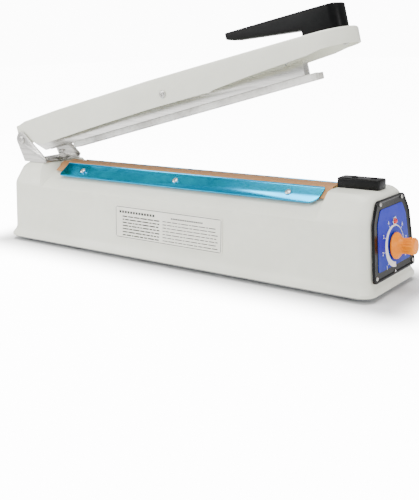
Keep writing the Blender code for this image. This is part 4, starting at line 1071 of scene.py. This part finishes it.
# ---- rating label -------------------------------------------------------------------------------
def model_label():
    """The foil label, and its print as plain bars: a frame line, a heading and rows of marks."""
    low, high = LABEL_LOW, LABEL_HIGH
    lean = math.atan((high.y - low.y - 0.0002) / (high.z - low.z))
    width, tall = high.x - low.x, high.z - low.z
    centre = (low + high) / 2
    # the label's frame: X to the right, Y up the wall, Z out of it
    place = Matrix.Translation(centre) @ Matrix.Rotation(math.pi / 2 - lean, 4, "X")
    foil = block("label_foil", (-width / 2, -tall / 2, -0.0001), (width / 2, tall / 2, 0.0001))
    round_edges(foil, upright, 0.0022, 5)
    face, raised = 0.0001, 0.00016
    rim = block("label_print", (-width / 2 + 0.0012, -tall / 2 + 0.0012, face),
                (width / 2 - 0.0012, tall / 2 - 0.0012, raised))
    round_edges(rim, upright, 0.0018, 5)
    inside = block("inside", (-width / 2 + 0.0017, -tall / 2 + 0.0017, -0.001),
                   (width / 2 - 0.0017, tall / 2 - 0.0017, 0.001))
    carve(rim, inside)
    marks = [rim]
    spread = random.Random(5)
    # two columns of short marks, as wide as printed words
    columns = ((-width / 2 + 0.0100, -0.0080, 0.0011), (-0.0040, width / 2 - 0.0050, 0.0007))
    for left, right, thick in columns:
        for row in range(7):
            top = tall / 2 - 0.0098 - row * 0.0030
            x = left
            while x < right - 0.002:
                end = min(x + spread.uniform(0.0020, 0.0085), right)
                marks.append(block("mark", (x, top - thick, face), (end, top, raised)))
                x = end + 0.0010
    for left, right, thick in ((-width / 2 + 0.006, -0.016, 0.0022), (0.006, 0.042, 0.0013)):
        x = left
        while x < right:
            marks.append(block("mark", (x, tall / 2 - 0.0072, face),
                               (x + thick * 1.1, tall / 2 - 0.0072 + thick, raised)))
            x += thick * 1.6
    print_marks = joined("label_print", marks)
    freeze(foil, place)
    freeze(print_marks, place)
    return foil, print_marks


# ---- fasteners and springs ----------------------------------------------------------------------
def pan_head(name, radius, height, shank, depth):
    """A cross-recessed pan-head screw that stands on Z = 0 and points down."""
    screw = turn_up(name, [(shank, -depth), (shank, -0.0001), (radius * 0.98, 0.0),
                           (radius, height * 0.22), (radius * 0.95, height * 0.55),
                           (radius * 0.78, height * 0.86), (radius * 0.48, height * 0.98),
                           (radius * 0.20, height)], 32)
    arm, half = radius * 0.58, radius * 0.10
    for x, y in ((arm, half), (half, arm)):
        carve(screw, block("recess", (-x, -y, height * 0.45), (x, y, height + 0.001)))
    soften(screw, radius * 0.04, 2, 35.0)
    return screw


def model_nut(name, half, thick, bore):
    """A hexagon nut with chamfered corners, on Z = 0."""
    nut = barrel(name, half / math.cos(math.pi / 6), 0.0, thick, 6)
    cone = turn_up("cone", [(half * 0.99, -0.0002), (half * 1.16, thick * 0.22),
                            (half * 1.16, thick * 0.78), (half * 0.99, thick + 0.0002)], 48)
    carve(nut, cone, "INTERSECT")
    drill(nut, (0, 0, -0.001), (0, 0, thick + 0.001), bore, 24)
    soften(nut, 0.00015, 1, 35.0)
    return nut


def model_coil(name, radius, wire, low, high, turns):
    """A round-wire compression spring about Z with closed, flattened ends."""
    shape = bpy.data.curves.new(name, "CURVE")
    shape.dimensions = "3D"
    shape.bevel_depth = wire / 2
    shape.bevel_resolution = 4
    shape.use_fill_caps = True
    per_turn = 24
    count = int(turns * per_turn)
    line = shape.splines.new("POLY")
    line.points.add(count)
    rise = high - low - wire
    for i, point in enumerate(line.points):
        share = i / count
        climb = min(max((share * turns - 0.75) / (turns - 1.5), 0.0), 1.0)
        height = low + wire / 2 + rise * (0.06 * share + 0.94 * climb)
        angle = math.tau * i / per_turn
        point.co = (radius * math.cos(angle), radius * math.sin(angle), height, 1.0)
    hold(add_object(name, shape))
    bpy.ops.object.convert(target="MESH")
    made = bpy.context.object
    pick(made, "VERT", lambda v: True)
    bpy.ops.mesh.remove_doubles(threshold=0.000002)
    bpy.ops.mesh.normals_make_consistent(inside=False)
    leave()
    return made


# ---- floor, lights and camera -------------------------------------------------------------------
def lay_floor(settings):
    """White paper that glows where it is seen directly, with a painted shadow where its glow fades
    out close to the machine.
    """
    clear_selection()
    bpy.ops.mesh.primitive_plane_add(size=1.0)
    floor = bpy.context.object
    floor.name = "floor"
    floor.scale = (14.0, 14.0, 1.0)
    freeze(floor)
    made, tree, shader = new_finish("floor_paper", {"Specular IOR Level": 0.2,
                                                    "Emission Color": (1.0, 1.0, 1.0, 1.0)})
    place = add_node(tree, "ShaderNodeTexCoord").outputs["Object"]
    # seen directly, the paper glows white, and it gives a little light to the machine; both glows
    # fade out close in round the machine, which paints a shadow round its footprint
    parts = add_node(tree, "ShaderNodeSeparateXYZ")
    tree.links.new(place, parts.inputs["Vector"])
    beyond = []
    for label, reach in (("X", 0.222), ("Y", 0.046)):
        off = worked(tree, "SUBTRACT", worked(tree, "ABSOLUTE", parts.outputs[label], 0.0), reach)
        off = worked(tree, "MAXIMUM", off, 0.0)
        beyond.append(worked(tree, "MULTIPLY", off, off))
    painted_shadow_distance = worked(tree, "SQRT", worked(tree, "ADD", *beyond), 0.0)
    seen = add_node(tree, "ShaderNodeLightPath").outputs["Is Camera Ray"]
    given = between(tree, seen, 0.0, 1.0, 0.25, settings.glow)
    # painted shadow: the glow is nothing at the machine's footprint and full 6 cm out from it
    glow = worked(tree, "MULTIPLY", between(tree, painted_shadow_distance, 0.0, 0.06), given)
    tree.links.new(glow, shader.inputs["Emission Strength"])
    speck = between(tree, noise_in(tree, place, 30.0, 4.0), 0.3, 0.7)
    darker = tuple(0.985 * value for value in settings.floor)
    tree.links.new(mixed(tree, speck, tuple(settings.floor), darker), shader.inputs["Base Color"])
    tree.links.new(between(tree, speck, 0.0, 1.0, 0.55, 0.65), shader.inputs["Roughness"])
    floor.data.materials.append(made)


def hang_surround(settings):
    """A white world."""
    world = bpy.data.worlds.new("surround")
    world.use_nodes = True
    tree = world.node_tree
    background = tree.nodes["Background"]
    background.inputs["Color"].default_value = (1.0, 1.0, 1.0, 1.0)
    # what is seen directly is a brighter white than what lights the machine
    seen = add_node(tree, "ShaderNodeLightPath").outputs["Is Camera Ray"]
    strength = between(tree, seen, 0.0, 1.0, settings.sky, settings.backdrop)
    tree.links.new(strength, background.inputs["Strength"])
    bpy.context.scene.world = world


def hang_lamps(settings):
    """Four softboxes that face the machine."""
    target = Vector((0.02, 0.0, 0.09))
    lamps = (("overhead_softbox", (0.10, -0.20, 1.30), (1.10, 0.80), settings.key),
             ("front_softbox", (-0.95, -1.00, 0.60), (0.80, 0.70), settings.fill),
             ("end_softbox", (1.30, -0.50, 0.45), (0.30, 0.70), settings.fill * 0.45),
             ("line_softbox", (-0.54, 0.15, 0.92), (0.22, 0.60), settings.fill * 0.55))
    for name, spot, size, power in lamps:
        light = bpy.data.lights.new(name, "AREA")
        light.shape = "RECTANGLE"
        light.size, light.size_y = size
        light.energy = power
        lamp = add_object(name, light)
        lamp.location = spot
        lamp.rotation_euler = (target - Vector(spot)).to_track_quat("-Z", "Y").to_euler()


def set_camera(settings):
    """The camera in front of the panel end."""
    yaw, pitch, roll = CAMERA_YAW, CAMERA_PITCH, CAMERA_ROLL
    ahead = Vector((-math.sin(yaw) * math.cos(pitch), math.cos(yaw) * math.cos(pitch),
                    -math.sin(pitch)))
    right = ahead.cross(Vector((0, 0, 1))).normalized()
    up = right.cross(ahead)
    level_right = math.cos(roll) * right + math.sin(roll) * up
    level_up = -math.sin(roll) * right + math.cos(roll) * up
    view = bpy.data.cameras.new("view")
    view.lens = settings.lens
    view.sensor_width = 36.0
    camera = add_object("view", view)
    turn = Matrix((level_right, level_up, -ahead)).transposed().to_4x4()
    # placed from the hinge pin, so that it follows the frame
    camera.matrix_world = Matrix.Translation(PIN + CAMERA_FROM_PIN) @ turn
    bpy.context.scene.camera = camera


# ---- operators ----------------------------------------------------------------------------------
class SealerOperator:
    """What the sealer's operators share."""
    bl_options = {"REGISTER", "UNDO"}

    def execute(self, context):
        """Make the step's pieces."""
        self.make(context)
        return {"FINISHED"}


class SEALER_OT_finishes(SealerOperator, bpy.types.Operator):
    """Make the finishes and the effects that they share"""
    bl_idname = "sealer.finishes"
    bl_label = "Finishes"

    def make(self, context):
        make_finishes()


class SEALER_OT_stage(SealerOperator, bpy.types.Operator):
    """Lay the floor, hang the lights and set up the camera"""
    bl_idname = "sealer.stage"
    bl_label = "Stage"

    def make(self, context):
        settings = context.scene.sealer_stage
        lay_floor(settings)
        hang_surround(settings)
        hang_lamps(settings)
        set_camera(settings)


class SEALER_OT_shell(SealerOperator, bpy.types.Operator):
    """Press the body shell with its land, slot and lip"""
    bl_idname = "sealer.shell"
    bl_label = "Body shell"

    def make(self, context):
        shell = model_shell(context.scene.sealer_case)
        fit_out(shell, "base", "paint", "painted_shell", "body_shell")


class SEALER_OT_cover(SealerOperator, bpy.types.Operator):
    """Press the arm cover"""
    bl_idname = "sealer.cover"
    bl_label = "Arm cover"

    def make(self, context):
        cover = model_cover(context.scene.sealer_case)
        fit_out(cover, "arm", "paint", "painted_shell", "arm_cover", angle=28.0)


class SEALER_OT_handle(SealerOperator, bpy.types.Operator):
    """Mould the handle"""
    bl_idname = "sealer.handle"
    bl_label = "Handle"

    def make(self, context):
        handle = model_handle(context.scene.sealer_fittings)
        fit_out(handle, "arm", "black_satin", "black_gloss", "handle")


class SEALER_OT_press_bar(SealerOperator, bpy.types.Operator):
    """Fold the press bar and lay its silicone strip"""
    bl_idname = "sealer.press_bar"
    bl_label = "Press bar"

    def make(self, context):
        bar = traced("press_bar_channel", "press_channel", 0.0003, merged=False)
        fit_out(bar, "press_bar", "bar", "bar_steel", "press_bar_channel")
        strip = model_silicone()
        fit_out(strip, "press_bar", "silicone", "silicone", "silicone_strip")


class SEALER_OT_sealing_line(SealerOperator, bpy.types.Operator):
    """Stretch the cloth, lay the clamp strips and drive their screws"""
    bl_idname = "sealer.sealing_line"
    bl_label = "Sealing line"

    def make(self, context):
        line = context.scene.sealer_line
        cloth = model_cloth(line)
        fit_out(cloth, "base", "cloth", "ptfe_cloth", "ptfe_cloth", angle=60.0)
        for side, stem in ((-1, "front"), (1, "rear")):
            strip = model_strip(f"{stem}_strip", side, line)
            fit_out(strip, "base", "strip", "clamp_strip", f"{stem}_clamp_strip")
        pattern = pan_head("strip_screw", 0.0031, 0.0017, 0.0014, 0.0050)
        lift = STRIP_LIFT + line.strip_thick + 0.0001
        for number, (x, side) in enumerate(strip_screw_places()):
            stem = "front" if side < 0 else "rear"
            turn = Matrix.Rotation(0.5 + 0.7 * number, 4, "Z")
            screw = copy_of(pattern, f"{stem}_screw_{number % 3 + 1}",
                            on_slope(x, side, SCREW_ACROSS, lift) @ turn)
            fit_out(screw, "base", "bright", "screw_chrome",
                    f"{stem}_strip_screw_{number % 3 + 1}")
        discard(pattern)


class SEALER_OT_switch(SealerOperator, bpy.types.Operator):
    """Mould the switch block"""
    bl_idname = "sealer.switch"
    bl_label = "Switch block"

    def make(self, context):
        made = model_block(context.scene.sealer_fittings)
        fit_out(made, "base", "black", "black_gloss", "switch_block")


class SEALER_OT_panel(SealerOperator, bpy.types.Operator):
    """Mould the bezel, print the film and fit the lamp"""
    bl_idname = "sealer.panel"
    bl_label = "Control panel"

    def make(self, context):
        fit_out(model_bezel(), "base", "black", "black_gloss", "control_panel")
        fit_out(model_film(), "base", "film", "label_blue", "panel_label")
        fit_out(model_dial(), "base", "ink", "label_cream")
        lens, collar = model_lamp()
        fit_out(lens, "base", "lens", "lamp_red", "indicator_lamp", angle=60.0)
        fit_out(collar, "base", "bright", "screw_chrome")
        pattern = pan_head("panel_screw", 0.0017, 0.0009, 0.0009, 0.0015)
        for number in range(1, 5):
            spot = PANEL.inverted() @ centre_of(f"panel_screw_{number}")
            spot.z = -PANEL_SCREW_SINK
            place = PANEL @ Matrix.Translation(spot) @ Matrix.Rotation(number, 4, "Z")
            screw = copy_of(pattern, f"bezel_screw_{number}", place)
            fit_out(screw, "base", "steel", "steel_plated", f"panel_screw_{number}")
        discard(pattern)


class SEALER_OT_knob(SealerOperator, bpy.types.Operator):
    """Turn the timer knob"""
    bl_idname = "sealer.knob"
    bl_label = "Timer knob"

    def make(self, context):
        knob = model_knob(context.scene.sealer_fittings)
        fit_out(knob, "knob", "knob", "knob_amber", "timer_knob")


class SEALER_OT_label(SealerOperator, bpy.types.Operator):
    """Stick on the rating label with its plain print"""
    bl_idname = "sealer.label"
    bl_label = "Rating label"

    def make(self, context):
        foil, marks = model_label()
        fit_out(foil, "base", "foil", "label_cream", "rating_label")
        fit_out(marks, "base", "dark_ink", "black_gloss")


class SEALER_OT_hinge(SealerOperator, bpy.types.Operator):
    """Fold the hinge bracket and fit the pin, the guide bolt, their nuts and the bracket's screws"""
    bl_idname = "sealer.hinge"
    bl_label = "Hinge and bolts"

    def make(self, context):
        bracket = traced("hinge_bracket", "bracket", 0.0004, 3)
        fit_out(bracket, "base", "steel", "steel_plated", "hinge_bracket")
        across = Matrix.Rotation(math.pi / 2, 4, "X")
        at_pin, at_guide = Matrix.Translation(PIN), ARM @ Matrix.Translation(GUIDE)
        bolts = (("hinge_pin", "pivot_pin", "base", 0.0044, 0.0015, 0.0026, at_pin),
                 ("guide_bolt", "guide_screw", "arm", 0.0035, 0.0016, 0.0020, at_guide))
        for node, name, body, radius, head, shank, place in bolts:
            low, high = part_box(node)
            seat = -low.y - head
            bolt = pan_head(name, radius, head, shank, seat + high.y)
            freeze(bolt, place @ across @ Matrix.Translation((0, 0, seat)))
            fit_out(bolt, body, "steel", "steel_plated", node)
        nuts = (("hinge_pin_nut", "pivot_nut", "base", 0.0043, 0.0026, at_pin),
                ("guide_bolt_nut", "guide_nut", "arm", 0.0035, 0.0020, at_guide))
        for node, name, body, half, bore, place in nuts:
            low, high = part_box(node)
            nut = model_nut(name, half, high.y - low.y, bore)
            flip = Matrix.Rotation(-math.pi / 2, 4, "X")
            freeze(nut, place @ Matrix.Translation((0, low.y, 0)) @ flip)
            fit_out(nut, body, "steel", "steel_plated", node)
        pattern = pan_head("bracket_screw_pattern", 0.0030, 0.0016, 0.0014, 0.0050)
        for number in (1, 2):
            low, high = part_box(f"hinge_bracket_screw_{number}")
            spot = ((low.x + high.x) / 2, (low.y + high.y) / 2, high.z - 0.0016)
            screw = copy_of(pattern, f"bracket_screw_{number}",
                            Matrix.Translation(spot) @ Matrix.Rotation(number, 4, "Z"))
            fit_out(screw, "base", "steel", "steel_plated", f"hinge_bracket_screw_{number}")
        discard(pattern)


class SEALER_OT_springs(SealerOperator, bpy.types.Operator):
    """Wind the lift spring and the pressure spring"""
    bl_idname = "sealer.springs"
    bl_label = "Springs"

    def make(self, context):
        low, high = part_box("lift_spring")
        centre = (low + high) / 2
        lift = model_coil("lift_coil", 0.0034, 0.0011, low.z, high.z, 7)
        freeze(lift, Matrix.Translation((centre.x, centre.y, 0)))
        fit_out(lift, "base", "bright", "steel_plated", "lift_spring", angle=60.0)
        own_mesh(lift)
        back = ARM.inverted()
        points = [back @ v.co for v in frame["nodes"]["pressure_spring"].data.vertices]
        bottom, top = min(p.z for p in points), max(p.z for p in points)
        x = (min(p.x for p in points) + max(p.x for p in points)) / 2
        push = model_coil("pressure_coil", 0.0026, 0.0008, bottom, top, 8)
        freeze(push, ARM @ Matrix.Translation((x, 0, 0)))
        fit_out(push, "press_bar", "bright", "steel_plated", "pressure_spring", angle=60.0)
        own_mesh(push)


class SEALER_OT_kept_parts(SealerOperator, bpy.types.Operator):
    """Give the frame's own parts their finishes"""
    bl_idname = "sealer.kept_parts"
    bl_label = "Inner and plain parts"

    def make(self, context):
        wanted = {
            "sheet": ["base_plate"],
            "rubber": [f"rubber_foot_{number}" for number in (1, 2, 3, 4)],
            "alloy": ["sealing_bed"],
            "element": ["heating_element"],
            "brass": ["element_terminal_left", "element_terminal_right"],
            "bronze": ["hinge_bush_near", "hinge_bush_far"],
            "steel": ["switch_block_screw", "switch_bracket", "transformer_strap", "potentiometer",
                      "handle_screw_1", "handle_screw_2", "actuator_pin", "knob_shaft"],
            "black": ["switch_plunger", "cable_gland"],
            "black_satin": ["microswitch"],
            "core": ["transformer_core"],
            "winding": ["transformer_winding"],
            "board": ["timer_board"],
            "carrier": ["board_carrier"],
            "relay": ["timer_relay"],
        }
        for key, nodes in wanted.items():
            for node in nodes:
                dress(frame["nodes"][node], key)


STEPS = (SEALER_OT_finishes, SEALER_OT_stage, SEALER_OT_shell, SEALER_OT_cover, SEALER_OT_handle,
         SEALER_OT_press_bar, SEALER_OT_sealing_line, SEALER_OT_switch, SEALER_OT_panel,
         SEALER_OT_knob, SEALER_OT_label, SEALER_OT_hinge, SEALER_OT_springs, SEALER_OT_kept_parts)


class SEALER_PT_sidebar(bpy.types.Panel):
    """Lists the sealer's settings and the steps that make it"""
    bl_idname = "SEALER_PT_sidebar"
    bl_label = "Heat sealer"
    bl_space_type = "VIEW_3D"
    bl_region_type = "UI"
    bl_category = "Sealer"

    def draw(self, context):
        for step in STEPS:
            self.layout.operator(step.bl_idname)
        for settings in (context.scene.sealer_case, context.scene.sealer_line,
                         context.scene.sealer_fittings, context.scene.sealer_stage):
            box = self.layout.box()
            for name in settings.__annotations__:
                box.prop(settings, name)


SETTINGS = {"sealer_case": SealerCaseSettings, "sealer_line": SealerLineSettings,
            "sealer_fittings": SealerFittingSettings, "sealer_stage": SealerStageSettings}


def register():
    """Register the settings, the steps and the sidebar."""
    for cls in (*SETTINGS.values(), *STEPS, SEALER_PT_sidebar):
        bpy.utils.register_class(cls)
    for name, cls in SETTINGS.items():
        setattr(bpy.types.Scene, name, bpy.props.PointerProperty(type=cls))


def unregister():
    """Undo register."""
    for name in SETTINGS:
        delattr(bpy.types.Scene, name)
    for cls in (SEALER_PT_sidebar, *reversed(STEPS), *SETTINGS.values()):
        bpy.utils.unregister_class(cls)


def main():
    """Make every piece in order."""
    register()
    for step in STEPS:
        group, name = step.bl_idname.split(".")
        getattr(getattr(bpy.ops, group), name)()
    clear_selection()


if __name__ == "__main__":
    main()
